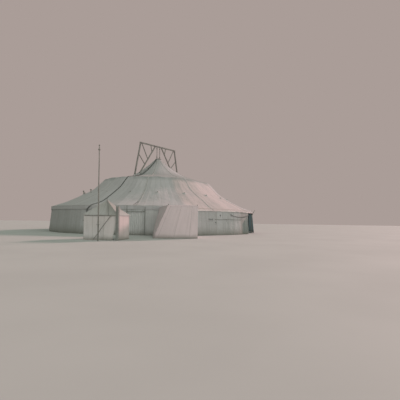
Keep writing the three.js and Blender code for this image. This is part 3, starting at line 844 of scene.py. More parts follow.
def makeRoof():
    rows, columns = roofLook["rows"], roofLook["columns"]
    onSlope = np.linspace(0, 1, rows - 14)
    down = np.concatenate([onSlope, np.linspace(1, 2, 15)[1:]])
    run = np.where(down <= 1, down * roofRun, roofRun + (down - 1) * roofLook["valance"])
    for i in range(10):
        start = tentShape["firstSeam"] + i * tentShape["sectionAngle"] + roofLook["seamGap"]
        angle = np.linspace(start, start + tentShape["sectionAngle"] - 2 * roofLook["seamGap"], columns)
        angles, downs = np.meshgrid(angle, down)
        grid = roofPoints(angles, downs)
        radius = np.interp(np.clip(downs, 0, 1), roofShare, roofRadii)
        across = np.radians(angles - angle.mean()) * radius
        cut = together(across, np.broadcast_to(run[:, None], across.shape))
        gore = together(angles, radius)
        name = "roofSection%d" % (i + 1)
        sheet = clothSheet(name, grid, "roofCanvas", cut, gore)
        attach(sheet, "root")
        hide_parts("roof_section_%d" % (i + 1))


makeRoof()
print("roof sections made")


# Canvas walls that hang from the eave rope and lean out a little to their foot.
wallLook = {
    "rows": 44,
    "spacing": 0.075,  # metres between two columns of a wall
    "pleat": 0.038,  # depth of the folds at the foot
    "crease": 0.006,
    "bandHeight": 1.65,  # the sewn rope band that holds the wall flat
    "fullness": 1.03,
    # where the edge at the open bay hangs: height, degrees
    "drawnEdge": ((0.0, 317.0), (1.2, 317.5), (1.8, 321.6), (2.3, 326.6), (2.9, 328.0)),
}


def wallRadius(height):
    return np.interp(height, *zip(*tentShape["wallRadii"]))


def wallFolds(metres, height, seed):
    # upright folds, held flat at the head and at the sewn band
    drop = np.clip((tentShape["wallTop"] - height) / tentShape["wallTop"], 0, 1)
    held = 1 - 0.75 * bump(height, wallLook["bandHeight"], 0.16)
    long = ripple(metres * 0.75, height * 0.05, seed)
    short = ripple(metres * 2.1, height * 0.22, seed + 1)
    folds = (long * 0.7 + short * 0.3) * wallLook["pleat"] * (0.16 + 0.84 * drop**0.8) * held
    return folds + wallLook["crease"] * ripple(metres * 3.0, height * 2.4, seed + 2)


def overPoles(angle, height):
    # the cloth is drawn tight over the side poles just under the eave
    beside = fromPole(angle, tentShape["bay"]) * np.radians(1) * tentShape["eave"]
    return 0.012 * np.exp(-((beside / 0.14) ** 2)) * np.clip((height - 1.9) / 0.8, 0, 1)


def hangWall(name, start, end, seed, edge=None):
    width = math.radians(end - start) * tentShape["eave"]
    columns = max(int(width / wallLook["spacing"]), 12)
    angle = np.linspace(start, end, columns)
    angles, lower = np.meshgrid(angle, np.linspace(0, 1, wallLook["rows"]))
    # the head stays under the eave where that hangs low
    top = np.minimum(tentShape["wallTop"], roofHeight(angle, 13.15 + 0 * angle) - 0.05)
    heights = top[None, :] * (1 - lower)
    if edge:
        # the end edge slants: it is drawn back below and reaches on under the eave
        reach = np.interp(heights, *zip(*edge))
        angles = start + (angles - start) * (reach - start) / (end - start)
    metres = np.radians(angles) * tentShape["eave"]
    fold = wallFolds(metres, heights, seed)
    fold *= np.clip((angles - start) * 2, 0, 1) * np.clip((end - angles) * 2, 0.15, 1)
    radius = wallRadius(heights) + fold + overPoles(angles, heights)
    # The foot rests on the ground and is pegged out every 0.9 m.
    pegs = np.abs(np.sin(metres * math.pi / 0.9))
    foot = np.clip(1 - heights / 0.3, 0, 1) ** 2
    radius = radius - 0.03 * pegs * foot
    lifted = heights + 0.022 * pegs * foot * (heights < 0.05) + 0.004
    cut = together(metres - metres.min(), tentShape["wallTop"] - heights)
    # the front wall takes the paler curtain cloth: painted light
    cloth = "frontLitCanvas" if name == "wallFront" else "wallCanvas"
    sheet = clothSheet(name, around(angles, radius, lifted), cloth, cut)
    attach(sheet, "root")
    return sheet, width


def makeWalls():
    bay = tentShape["openBay"]
    door = tentShape["entrance"]
    porch = tentShape["porchWay"]
    joint = 0.02  # degrees between two sheets
    walls = {
        "wallRight": ("wall_right", bay[1] - 360, 72, "side_poles_right"),
        "wallBack": ("wall_back", 72 + joint, 162, "side_poles_back"),
        "wallLeft": ("wall_left", 162 + joint, door[0], "side_poles_left"),
        "wallFront": ("wall_front", door[1], porch[0], "side_poles_left"),
        "wallFrontRight": ("wall_front_right", porch[1], bay[0], "side_poles_front"),
    }
    for number, (name, (node, start, end, poles)) in enumerate(walls.items()):
        edge = wallLook["drawnEdge"] if name == "wallFrontRight" else None
        sheet, width = hangWall(name, start, end, 30 + 7 * number, edge=edge)
        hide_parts(node)


curtainLook = {
    "width": 2.1,
    "pleats": 9,
    "depth": 0.05,
    "flapWidth": 2.3,
    "flapTop": 2.50,
    "flapStart": 3.1,  # degrees from the open bay to where the flap is bunched
    "flapReach": ((0.0, 8.0), (1.15, 8.4), (1.9, 8.9), (2.48, 9.6), (2.86, 9.6)),  # height, degrees
    "flapPleats": 7,
    "flapDepth": 0.055,
}


def makeCurtain():
    # the entrance curtain hangs in soft pleats
    start, end = tentShape["entrance"]
    angle = np.linspace(start + 0.02, end - 0.02, 130)
    height = tentShape["wallTop"] * (1 - np.linspace(0, 1, 50))
    angles, heights = np.meshgrid(angle, height)
    share = (angles - start) / (end - start)
    drop = 1 - heights / tentShape["wallTop"]
    wander = share + 0.02 * ripple(share * 1.5, heights * 0.3, 71)
    pleat = np.sin(wander * math.tau * curtainLook["pleats"]) * (0.3 + 0.7 * drop)
    pleat += 0.25 * ripple(share * 9, heights * 0.5, 72)
    radius = wallRadius(heights) - 0.008 + curtainLook["depth"] * 0.55 * pleat
    cut = together(share * curtainLook["width"], tentShape["wallTop"] - heights)
    grid = around(angles, radius, heights + 0.01)
    # the curtain's paler cloth is painted light
    sheet = clothSheet("entranceCurtain", grid, "frontLitCanvas", cut)
    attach(sheet, "root")
    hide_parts("entrance_curtain")


def makeFlap():
    # the canvas of the open bay, drawn aside under its heading and bunched at the post
    rows, columns = 70, 120
    heights = np.linspace(curtainLook["flapTop"], 0.012, rows)
    reach = np.interp(heights, *zip(*curtainLook["flapReach"]))
    start = tentShape["openBay"][0] - curtainLook["flapStart"]
    share = np.linspace(0, 1, columns)[None, :]
    angles = start + share * reach[:, None]
    span = np.radians(reach)[:, None] * tentShape["eave"]
    gathered = np.clip(2.4 / span, 1, 3.2) - 0.55
    drop = (1 - heights / tentShape["wallTop"])[:, None]
    wander = share + 0.03 * ripple(share * 1.2, heights[:, None] * 0.5, 75)
    pleat = np.sin(wander * math.tau * curtainLook["flapPleats"])
    pleat = pleat + 0.3 * ripple(share * 6, drop * 2, 76)
    behind = 0.09 * np.clip((tentShape["openBay"][0] - angles) / 1.5 + 1, 0, 1)
    pleat = curtainLook["flapDepth"] * 0.6 * pleat * gathered * (0.5 + drop)
    radius = wallRadius(heights)[:, None] - behind + pleat
    grid = around(angles, radius, heights[:, None])
    cut = together(share * curtainLook["flapWidth"], heights[0] - heights[:, None])
    # the flap's cloth is painted dark: painted shade
    sheet = clothSheet("drawnFlap", grid, "flapShadeCanvas", cut)
    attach(sheet, "root")
    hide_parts("drawn_wall_flap")


wallLines = {
    # degrees and height; the toggles also have a size
    "band": ((297.0, 1.67), (300.0, 1.64), (304.7, 1.68), (310.0, 1.66), (316.8, 1.69)),
    "swag": (
        (307.3, 2.22), (309.0, 2.09), (312.0, 2.00), (315.7, 1.98),
        (319.0, 2.02), (323.5, 2.12), (326.4, 2.24),
    ),
    "toggles": (
        (293.7, 1.70, 0.05), (294.6, 1.69, 0.05), (295.4, 1.70, 0.045), (297.3, 1.36, 0.045),
        (300.2, 2.13, 0.05), (304.0, 1.68, 0.028), (307.3, 2.2, 0.04),
    ),
}


def onWall(knots, lift, spacing):
    line = smoothLine(knots, 40 * len(knots))
    return resample(around(line[:, 0], wallRadius(line[:, 1]) + lift, line[:, 1]), spacing)


def makeWallRopes():
    # the sewn band, the rope slung under the eave and the toggles of the front right wall
    bandPath = onWall(wallLines["band"], 0.03, 0.05)
    swagPath = onWall(wallLines["swag"], 0.06, 0.05)
    bandRope = ropeAlong("bandRope", bandPath, 0.017, "hempDark", fine=2.5)
    swagRope = ropeAlong("swagRope", swagPath, 0.032, "tarred", fine=2.2)
    knots = []
    for angle, height, size in wallLines["toggles"]:
        centre = around(angle, float(wallRadius(height)) + 0.045, height)
        turn = np.linspace(0, math.tau * 2.6, 60)
        swell = size * (0.55 + 0.45 * np.sin(turn * 0.5))
        outwards = 0.35 * size * np.sin(turn * 1.7)
        loop = together(swell * np.cos(turn), outwards, swell * np.sin(turn) * 0.8)
        knots.append(ropeAlong("knot", centre + loop, size * 0.3, "tarred", fine=1.0))
        tail = np.array([centre, centre + (0.01, -0.01, -0.1), centre + (0.02, 0.0, -0.22)])
        knots.append(ropeAlong("tail", smoothLine(tail, 20), size * 0.22, "tarred", fine=2.0))
    for piece in (bandRope, swagRope, joined("wallKnots", knots)):
        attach(piece, "root")


makeWalls()
makeCurtain()
makeFlap()
makeWallRopes()
print("walls, curtain and flap hung")


# Porch: its own frame has x outwards from the tent's middle and y along the wall.
porchShape = {
    "angle": 276.6,
    "halfWidth": 1.3,
    "flareFoot": 2.5,
    "front": 18.67,
    "height": 2.78,
    "crown": 0.05,
    "posts": (18.595, 13.68),
    "postAt": 1.24,
    "narrower": 0.5,
    "fold": 0.02,
    "valance": 0.09,
}


def inPorch(x, y, z):
    return standing((0, 0), porchShape["angle"], x, y, z)


def besideWall(y, height):
    # how far from the tent's middle the porch meets the wall or valance
    edge = np.where(height > 2.49, tentShape["valanceFace"], wallRadius(height) + 0.02)
    return np.sqrt(np.maximum(edge**2 - y**2, 0))


def makePorchWalls():
    rows, columns = 56, 260
    half, front = porchShape["halfWidth"], porchShape["front"]
    top = porchShape["height"] - 0.004
    side = front - 13.4
    lengths = (side, 2 * half, side)
    s = np.linspace(0, sum(lengths), columns)[None, :]
    heights = top * (1 - np.linspace(0, 1, rows))[:, None] + 0.006
    lean = (1 - heights / top).clip(0, 1)
    onLeft = np.clip(s / lengths[0], 0, 1)
    # the left wall spreads less where it meets the tent
    spread = porchShape["flareFoot"] - half - porchShape["narrower"] * (1 - onLeft)
    leftY = -(half + spread * lean)
    onFront = np.clip((s - lengths[0]) / lengths[1], 0, 1)
    onRight = np.clip((s - lengths[0] - lengths[1]) / lengths[2], 0, 1)
    y = leftY + (half - leftY) * onFront
    y = np.where(s < lengths[0], leftY, y)
    back = besideWall(y, heights)
    x = np.where(s < lengths[0], back + (front - back) * onLeft, front - (front - back) * onRight)
    # the gusset beside the left post stands back from the face
    gusset = np.clip((-half - y) / (porchShape["flareFoot"] - half), 0, 1) * (s >= lengths[0])
    x = x - 0.22 * gusset * lean
    held = np.sin(np.clip(lean, 0, 1) * math.pi) * 0.8 + 0.2
    fold = ripple(s * 1.1, heights * 0.12, 81) + 0.5 * ripple(s * 2.6, heights * 0.5, 82)
    corner = np.minimum(np.abs(s - lengths[0]), np.abs(s - lengths[0] - lengths[1]))
    fold = porchShape["fold"] * held * fold * np.clip(corner / 0.15, 0.1, 1) - 0.004
    onFace = (s >= lengths[0]) & (s <= lengths[0] + lengths[1])
    x = x + np.where(onFace, fold, 0)
    y = y + np.where(s < lengths[0], -fold, 0) + np.where(s > lengths[0] + lengths[1], fold, 0)
    cut = together(s, top - heights)
    grid = inPorch(x, y, heights)
    # the porch's pale pink cloth is painted light
    sheet = clothSheet("porchWalls", grid, "porchLitCanvas", cut)
    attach(sheet, "root")
    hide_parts("porch_walls")


def makePorchRoof():
    # a flat cover with a small valance on its three free edges
    half, front = porchShape["halfWidth"], porchShape["front"]
    drop = porchShape["valance"]
    across = np.concatenate([[-half - 0.012] * 3, np.linspace(-half, half, 61), [half + 0.012] * 3])
    fall = np.concatenate([[1, 0.6, 0.2], np.zeros(61), [0.2, 0.6, 1]]) * drop
    along = np.concatenate([np.linspace(0, 1, 90), [1.0] * 3])
    frontFall = np.concatenate([np.zeros(90), [0.2, 0.6, 1]]) * drop
    y, share = np.meshgrid(across, along)
    low = np.maximum(fall[None, :], frontFall[:, None])
    back = besideWall(y, 2.8 * np.ones_like(y)) + 0.002
    x = back + (front + 0.012 - back) * share
    crown = porchShape["crown"] * (1 - np.clip(np.abs(y) / half, 0, 1))
    sag = 0.03 * np.sin(share * math.pi * 3) ** 2 * (1 - (y / half).clip(-1, 1) ** 2)
    wave = 0.004 * ripple(x * 1.5, y * 1.5, 85)
    z = porchShape["height"] + 0.016 + crown - sag + wave - low
    cut = together(y + half, x - 13.2 + frontFall[:, None])
    sheet = clothSheet("porchRoof", inPorch(x, y, z), "porchLitCanvas", cut)
    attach(sheet, "root")
    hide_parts("porch_roof")


makePorchWalls()
makePorchRoof()
print("porch clothed")


# Ticket booth: its own frame has x along its front and y to the back.
boothShape = {
    "place": (-3.81, -20.4),
    "angle": -19.3,
    "halfWidth": 1.36,
    "halfDepth": 1.01,
    "overhang": 0.04,
    "eave": 1.9,
    "apex": 3.03,
    "wallHead": 1.84,
    "postSide": 0.1,  # half the thick corner post
    "valance": 0.08,
    "drawnAside": 0.22,
}


def inBooth(x, y, z):
    return standing(boothShape["place"], boothShape["angle"], x, y, z)


def makeBoothRoof():
    # four sagging panels between straight hips, with a valance below the eave
    rows, columns = 56, 176
    reachX = boothShape["halfWidth"] + boothShape["overhang"]
    reachY = boothShape["halfDepth"] + boothShape["overhang"]
    turn = np.linspace(0, 4, columns, endpoint=False)[None, :] + 0.5
    panel = np.floor(turn)
    part = (turn - panel) * 2 - 1  # -1 to 1 from hip to hip
    corners = ((1, -1), (1, 1), (-1, 1), (-1, -1), (1, -1))
    place = (panel % 4).astype(int)
    startX, startY = np.moveaxis(np.array(corners)[place], -1, 0)
    endX, endY = np.moveaxis(np.array(corners)[place + 1], -1, 0)
    half = (part + 1) / 2
    cornerX = startX + (endX - startX) * half
    cornerY = startY + (endY - startY) * half
    slope = np.concatenate([np.linspace(0.022, 1, rows - 6), np.ones(6)])[:, None]
    fall = np.concatenate([np.zeros(rows - 6), np.linspace(0.15, 1, 6)])[:, None]
    middle = np.cos(part * math.pi / 2)
    sag = 0.06 * middle * np.sin(slope * math.pi) + 0.02 * middle * slope**3
    wrinkle = 0.006 * ripple(cornerX * 3 * slope, cornerY * 3 * slope, 91) * slope
    rise = boothShape["apex"] - boothShape["eave"]
    z = boothShape["apex"] - rise * (1 - (1 - slope) ** 1.08) - sag + wrinkle
    z = z - fall * (boothShape["valance"] + 0.015 * np.abs(np.sin(half * math.pi * 7)))
    inward = 1 - 0.012 * middle * slope
    x = cornerX * reachX * slope * inward
    y = cornerY * reachY * slope * inward
    across = cornerX * reachX * np.abs(endX - startX) / 2 + cornerY * reachY * np.abs(endY - startY) / 2
    cut = together(across * slope, slope * 1.7 + fall * 0.08)
    grid = inBooth(x, y, z)
    # the roof takes the darker copy of the booth cloth: painted shade
    piece = clothSheet("boothRoof", grid, "boothRoofShadeCanvas", cut, closed=True)
    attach(piece, "root")
    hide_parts("booth_roof")


def boothWall(name, corners, node, seed, canvas):
    # a wall hung from the rails along corners of its plan, drawn left to right
    corners = np.array(corners, float)
    reach = lengthsAlong(np.column_stack([corners, np.zeros(len(corners))]))
    columns = int(reach[-1] / 0.03)
    s = np.linspace(0, reach[-1], columns)[None, :]
    rows = 40
    heights = boothShape["wallHead"] * (1 - np.linspace(0, 1, rows))[:, None] + 0.006
    x = np.interp(s, reach, corners[:, 0]) + 0 * heights
    # the free edge of the front wall is drawn aside from the corner post
    drawn = boothShape["drawnAside"] * (node == "booth_front_wall")
    x = x - drawn * np.clip((s - reach[-1] + 1.2) / 1.2, 0, 1) * np.clip(1.35 - heights, 0, 1.35)
    y = np.interp(s, reach, corners[:, 1]) + 0 * heights
    side = np.searchsorted(reach[1:-1], s[0])
    steps = np.diff(corners, axis=0)
    steps /= np.linalg.norm(steps, axis=1)[:, None]
    outX, outY = steps[side, 1], -steps[side, 0]
    corner = np.min(np.abs(s[0][:, None] - reach[None, :]), axis=1)
    drop = 1 - heights / boothShape["wallHead"]
    fold = ripple(s * 1.5, heights * 0.2, seed) * 0.6 + ripple(s * 3.8, heights * 0.5, seed + 1) * 0.4
    fold = fold * 0.022 * (0.2 + 0.8 * drop) * np.clip(corner / 0.12, 0, 1)[None, :] + 0.004
    cut = together(s, boothShape["wallHead"] - heights)
    grid = inBooth(x + fold * outX, y + fold * outY, heights)
    sheet = clothSheet(name, grid, canvas, cut)
    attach(sheet, "root")
    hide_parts(node)


def makeBoothWalls():
    wide, deep, post = boothShape["halfWidth"], boothShape["halfDepth"], boothShape["postSide"]
    front = [(-wide, deep), (-wide, -deep), (wide - post, -deep)]
    right = [(wide, -deep + post), (wide, deep)]
    # both walls are painted light: the front in pale pink cloth, the sunlit right wall in its darker,
    # pinker copy
    boothWall("boothFrontWall", front, "booth_front_wall", 95, "boothCanvas")
    boothWall("boothRightWall", right, "booth_right_wall", 98, "boothLitSideCanvas")


makeBoothRoof()
makeBoothWalls()
print("booth clothed")


# Timber and poles
gantryShape = {
    "angle": 45.0,
    "beamBottom": 11.415,
    "beamTop": 11.585,
    "legAtBeam": 3.24,
    "legAtGround": 5.72,
    "legWidth": 0.15,
    "diagonalAtBeam": 0.61,
    "diagonalFoot": (4.326, 6.1),
    "ringAt": 0.265,  # where the two tackles hold the crown ring
    "bandAt": 3.05,
    "boltAt": 2.95,
    # place along the gantry, height, half the width of the timber
    "bolts": ((3.547, 10.0, 0.075), (2.4, 8.75, 0.065), (1.91, 9.5, 0.065), (1.19, 10.55, 0.065)),
    "ringTop": 9.87,
}
timberLook = {"bevel": 0.014, "cut": 0.4, "uneven": 0.004, "bow": 0.010}


def inGantry(t, z, aside=0.0):
    # t along the gantry's plane from its middle, aside square to it
    return Vector(standing((0, 0), gantryShape["angle"], t, -aside, z))


def hewnTimber(node, name, seed):
    # the squared timber of the node with worn edges, slightly uneven faces and grain along it
    mesh = bmesh.new()
    mesh.from_mesh(nodes[node].data)
    bmesh.ops.remove_doubles(mesh, verts=mesh.verts, dist=0.0005)
    bmesh.ops.dissolve_limit(mesh, angle_limit=math.radians(2), verts=mesh.verts, edges=mesh.edges)
    points = np.array([v.co for v in mesh.verts])
    centre = points.mean(axis=0)
    _, _, axes = np.linalg.svd(points - centre)
    axis = axes[0]
    rounding = {"offset": timberLook["bevel"], "segments": 2, "profile": 0.6, "affect": "EDGES"}
    bmesh.ops.bevel(mesh, geom=mesh.edges[:], clamp_overlap=True, **rounding)
    reach = (points - centre) @ axis
    for at in np.arange(reach.min() + 0.2, reach.max() - 0.15, timberLook["cut"]):
        everything = mesh.verts[:] + mesh.edges[:] + mesh.faces[:]
        place = Vector(centre + axis * at)
        bmesh.ops.bisect_plane(mesh, geom=everything, plane_co=place, plane_no=Vector(axis))
    bmesh.ops.recalc_face_normals(mesh, faces=mesh.faces)
    data = bpy.data.meshes.new(name)
    mesh.to_mesh(data)
    mesh.free()
    points = np.zeros(len(data.vertices) * 3)
    data.vertices.foreach_get("co", points)
    points = points.reshape(-1, 3)
    along = (points - centre) @ axis
    side, other = axes[1], axes[2]
    inner = np.clip((np.minimum(along - reach.min(), reach.max() - along)) / 0.4, 0, 1)
    uneven = inner * timberLook["uneven"]
    points = points + np.outer(uneven * ripple(along * 0.9, 0, seed), side)
    points = points + np.outer(uneven * ripple(along * 0.7, 3, seed + 1), other)
    data.vertices.foreach_set("co", points.ravel())
    data.polygons.foreach_set("use_smooth", [False] * len(data.polygons))
    data.materials.append(materials["timber"])
    piece = bpy.data.objects.new(name, data)
    scene.collection.objects.link(piece)
    across = (points - centre) @ side + (points - centre) @ other
    addUv(piece, "grain", np.column_stack([across + seed, along]))
    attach(piece, "root")
    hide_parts(node)
    return piece


def roundPole(name, start, end, radius, tipRadius, seed, sides=12, step=0.3, slot="timber"):
    # a peeled pole: tapered, a little crooked, knotty, its ends rubbed round
    start, end = np.array(start, float), np.array(end, float)
    length = np.linalg.norm(end - start)
    count = max(int(length / step) + 1, 4)
    inner = np.linspace(0.02 / length, 1 - 0.02 / length, count)
    share = np.concatenate([[0, 0.004 / length], inner, [1 - 0.004 / length, 1]])
    path = start + np.outer(share, end - start)
    crook = timberLook["bow"] * np.sin(share * math.pi)
    aside = np.cross(end - start, (0.3, 0.7, 0.2))
    aside /= np.linalg.norm(aside)
    path = path + np.outer(crook * ripple(share * 1.3, seed * 0.37, seed), aside)
    thick = radius + (tipRadius - radius) * share
    thick = thick * (1 + 0.05 * ripple(share * length * 0.8, 1.0, seed + 3))
    thick[0] *= 0.78
    thick[1] *= 0.93
    thick[-2] *= 0.93
    thick[-1] *= 0.78
    turn = circleTurns(sides)
    lobes = 1 + 0.03 * np.sin(2 * turn + share[:, None] * 5 + seed) + 0.02 * np.cos(3 * turn + seed)
    wide = thick[:, None] * lobes
    sections = together(wide * np.cos(turn), wide * np.sin(turn))
    piece = sweep(name, path, sections, "pole")
    across = np.broadcast_to(turn[None, :] * radius, (len(path), sides))
    distance = np.broadcast_to((share * length)[:, None], (len(path), sides))
    addUv(piece, "grain", together(across + seed, distance), period=math.tau * radius)
    return piece


def turned(name, profile, sides, foot, axis, material):
    # a turned body: (radius, height) pairs from its foot up along an axis
    profile = np.array(profile, float)
    axis = Vector(axis).normalized()
    path = np.array(foot, float) + np.outer(profile[:, 1], np.array(axis))
    side = np.array(axis.orthogonal().normalized())
    up = np.cross(side, np.array(axis))
    turn = circleTurns(sides)
    spoke = np.outer(np.cos(turn), side) + np.outer(np.sin(turn), up)
    points = path[:, None] + profile[:, None, :1] * spoke[None]
    piece = newObject(name, points, rodFaces(len(profile), sides), material)
    for layer in ("grain", "cloth"):
        addUv(piece, layer, together(turn[None, :] * 0.05, profile[:, 1:]))
    fixNormals(piece)
    return piece


def upright(name, profile, sides, foot, material):
    return turned(name, profile, sides, foot, (0, 0, 1), material)


def fixNormals(piece):
    mesh = bmesh.new()
    mesh.from_mesh(piece.data)
    bmesh.ops.recalc_face_normals(mesh, faces=mesh.faces)
    mesh.to_mesh(piece.data)
    mesh.free()


def strap(name, centre, axis, side, halfWide, halfDeep, width=0.07, thick=0.009):
    # an iron band round a squared timber whose length is axis
    axis = Vector(axis).normalized()
    side = Vector(side).normalized()
    other = axis.cross(side)
    corner = timberLook["bevel"]
    points = []
    for grow, at in ((0, -0.5), (thick, -0.5), (thick, 0.5), (0, 0.5)):
        for quarter, (signA, signB) in enumerate(((1, 1), (-1, 1), (-1, -1), (1, -1))):
            for step in range(5):
                turn = math.radians(quarter * 90 + step * 22.5)
                a = signA * (halfWide - corner) + (corner + grow) * math.cos(turn)
                b = signB * (halfDeep - corner) + (corner + grow) * math.sin(turn)
                points.append(tuple(centre + side * a + other * b + axis * (at * width)))
    piece = newObject(name, points, hoopFaces(4, 20), "iron")
    fixNormals(piece)
    return piece


def nut(name, foot, axis, size=0.022):
    # a square nut on its washer with the end of the bolt
    outline = (
        (1.3, 0), (1.3, 0.004), (0.9, 0.0041), (1, 0.007), (1, 0.020),
        (0.85, 0.023), (0.5, 0.0231), (0.5, 0.032), (0.4, 0.036),
    )
    profile = [(size * wide, height) for wide, height in outline]
    return turned(name, profile, 8, foot, axis, "iron")


def makeGantry():
    hewnTimber("gantry_beam", "gantryBeam", 101)
    for number, end in enumerate(("front", "back")):
        hewnTimber("gantry_leg_" + end, "gantryLeg_" + end, 110 + number)
        hewnTimber("gantry_diagonal_" + end, "gantryDiagonal_" + end, 120 + number)
        for place in ("outer", "middle", "inner"):
            brace = end + "_" + place
            hewnTimber("gantry_brace_" + brace, "gantryBrace_" + brace, 130 + number)
    makeGantryIron()


def makeGantryIron():
    # bands and bolts where the legs and diagonals meet the beam
    shape = gantryShape
    level = inGantry(1, 0) - inGantry(0, 0)
    aside = inGantry(0, 0, 1) - inGantry(0, 0)
    pieces = []
    beamMiddle = (shape["beamBottom"] + shape["beamTop"]) / 2
    beamDeep = (shape["beamTop"] - shape["beamBottom"]) / 2
    for side in (-1, 1):
        for at in (shape["bandAt"], shape["diagonalAtBeam"] + 0.16, shape["ringAt"]):
            centre = inGantry(side * at, beamMiddle)
            pieces.append(strap("band", centre, level, aside, shape["legWidth"] / 2, beamDeep))
        legTop = inGantry(side * shape["legAtBeam"], shape["beamBottom"])
        along = inGantry(side * shape["legAtGround"], 0) - legTop
        pieces.append(strap("band", legTop + along.normalized() * 0.13, along, aside, 0.075, 0.075))
        for t in (shape["legAtBeam"] + 0.01, shape["diagonalAtBeam"], shape["boltAt"]):
            for face in (-1, 1):
                foot = inGantry(side * t, beamMiddle, face * shape["legWidth"] / 2)
                pieces.append(nut("nut", foot, aside * face))
        # bolts through the leg where the outer brace butts on it and through the diagonal
        for t, z, half in shape["bolts"]:
            for face in (-1, 1):
                pieces.append(nut("nut", inGantry(side * t, z, face * half), aside * face, 0.018))
    fittings = joined("gantryIron", pieces)
    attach(fittings, "root")


def poleRing(nodePrefix, name, ringRadius, thickness, topFor, seed):
    # twenty poles in the four arcs of the frame
    for arc, side in enumerate(("right", "back", "left", "front")):
        pieces = []
        for k in range(5):
            angle = arc * 90 + k * 18
            foot = around(angle, ringRadius, 0.0)
            head = around(angle, ringRadius, topFor(angle))
            pieces.append(roundPole("pole", foot, head, *thickness, seed + arc * 5 + k))
        poles = joined(name + "_" + side, pieces)
        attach(poles, "root")
        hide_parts(nodePrefix + "_" + side)


poleLook = {
    "tallTips": (150, 222),  # these outer poles stand well out of the canvas
    "tallTip": 0.31,
    "shortTip": 0.045,
    "knob": 0.052,
    # radius at the foot and at the head
    "outer": (0.048, 0.038),
    "side": (0.042, 0.036),
    "quarter": (0.064, 0.05),
}


def outerTip(angle):
    first, last = poleLook["tallTips"]
    tip = poleLook["tallTip"] if first < angle < last else poleLook["shortTip"]
    return float(roofHeight(angle, tentShape["outerPoles"])) + tip


def makePoles():
    poleRing("outer_poles", "outerPoles", tentShape["outerPoles"], poleLook["outer"], outerTip, 200)

    def sideTop(angle):
        return float(roofHeight(angle, tentShape["sidePoles"])) - 0.03

    poleRing("side_poles", "sidePoles", tentShape["sidePoles"], poleLook["side"], sideTop, 240)
    for i in range(10):
        angle, radius = i * tentShape["sectionAngle"], tentShape["shoulder"]
        foot = around(angle, radius, 0.0)
        head = around(angle, radius, float(roofHeight(angle, radius)) - 0.03)
        post = roundPole("quarterPole_%d" % (i + 1), foot, head, *poleLook["quarter"], 280 + i)
        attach(post, "root")
        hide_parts("quarter_pole_%d" % (i + 1))


makeGantry()
makePoles()
print("gantry and poles made")


# Ropes, lacing and the fittings on the roof
def onRoofPath(knots, lift, spacing=0.05):
    # a line on the roof through (angle, radius) knots, lifted off the cloth
    line = smoothLine(knots, 40 * len(knots))
    flat = around(line[:, 0], line[:, 1], 0.0)
    distance = lengthsAlong(flat)
    at = np.arange(0, distance[-1], spacing)
    angle = np.interp(at, distance, line[:, 0])
    radius = np.interp(at, distance, line[:, 1])
    return angle, radius, around(angle, radius, roofHeight(angle, radius) + lift)


def onWallPath(knots, lift, spacing=0.05):
    # a line down the valance and wall through (angle, height) knots
    line = smoothLine(knots, 30 * len(knots))
    onValance = line[:, 1] > 2.47
    radius = np.where(onValance, tentShape["valanceFace"], wallRadius(line[:, 1])) + lift
    return resample(around(line[:, 0], radius, line[:, 1]), spacing)


lacedLook = {
    "knots": (
        (238.0, 0.36), (237.2, 1.4), (236.8, 2.8), (238.0, 4.0), (239.6, 5.2), (240.2, 6.4),
        (239.8, 7.1), (239.2, 8.4), (239.6, 9.6), (240.4, 10.6), (241.0, 11.7), (240.7, 12.6),
        (239.8, 13.2),
    ),
    "wall": ((239.6, 2.86), (238.3, 2.64), (237.6, 2.46), (237.4, 1.9), (236.9, 1.6), (236.0, 1.34)),
    "ropeRadius": 0.032,
    "rollRadius": 0.075,  # the fat roll of canvas above the shoulder
    "rollEnd": 5.4,
    "lashing": 0.34,  # metres between two turns of the lashing
}


def doubled(name, path, aside, radius, material):
    # two ropes side by side along a path
    along = np.gradient(path, axis=0)
    level = np.cross(along, (0, 0, 1.0))
    level /= np.maximum(np.linalg.norm(level, axis=1)[:, None], 1e-6)
    first = ropeAlong(name + "A", path + level * aside, radius, material, fine=2.2)
    second = ropeAlong(name + "B", path - level * aside, radius, material, fine=2.2)
    return [first, second]


def lashingTurn(name, centre, along, up, halfWide, halfTall, radius, material):
    # one turn of cord round whatever lies along the line
    along = np.array(along, float) / np.linalg.norm(along)
    up = np.array(up, float) - along * np.dot(up, along)
    up /= np.linalg.norm(up)
    side = np.cross(along, up)
    turn = np.linspace(0, math.tau * 1.02, 15)
    lean = np.linspace(-radius, radius, 15)
    path = centre + np.outer(np.cos(turn) * halfWide, side) + np.outer(np.sin(turn) * halfTall, up)
    return cordAlong(name, path + np.outer(lean, along), radius, 6, material)


def lashingTurns(path, starts, outwards, sizes, radius, material):
    # turns of cord at these distances along a path; sizes are half the width and height of each
    distance = lengthsAlong(path)
    spots, ahead = pointAt(path, distance, starts), pointAt(path, distance, starts + 0.05)
    outwards = np.broadcast_to(outwards, spots.shape)
    sizes = np.broadcast_to(sizes, (len(starts), 2))
    return [
        lashingTurn("turn", spot, after - spot, outward, *size, radius, material)
        for spot, after, outward, size in zip(spots, ahead, outwards, sizes)
    ]


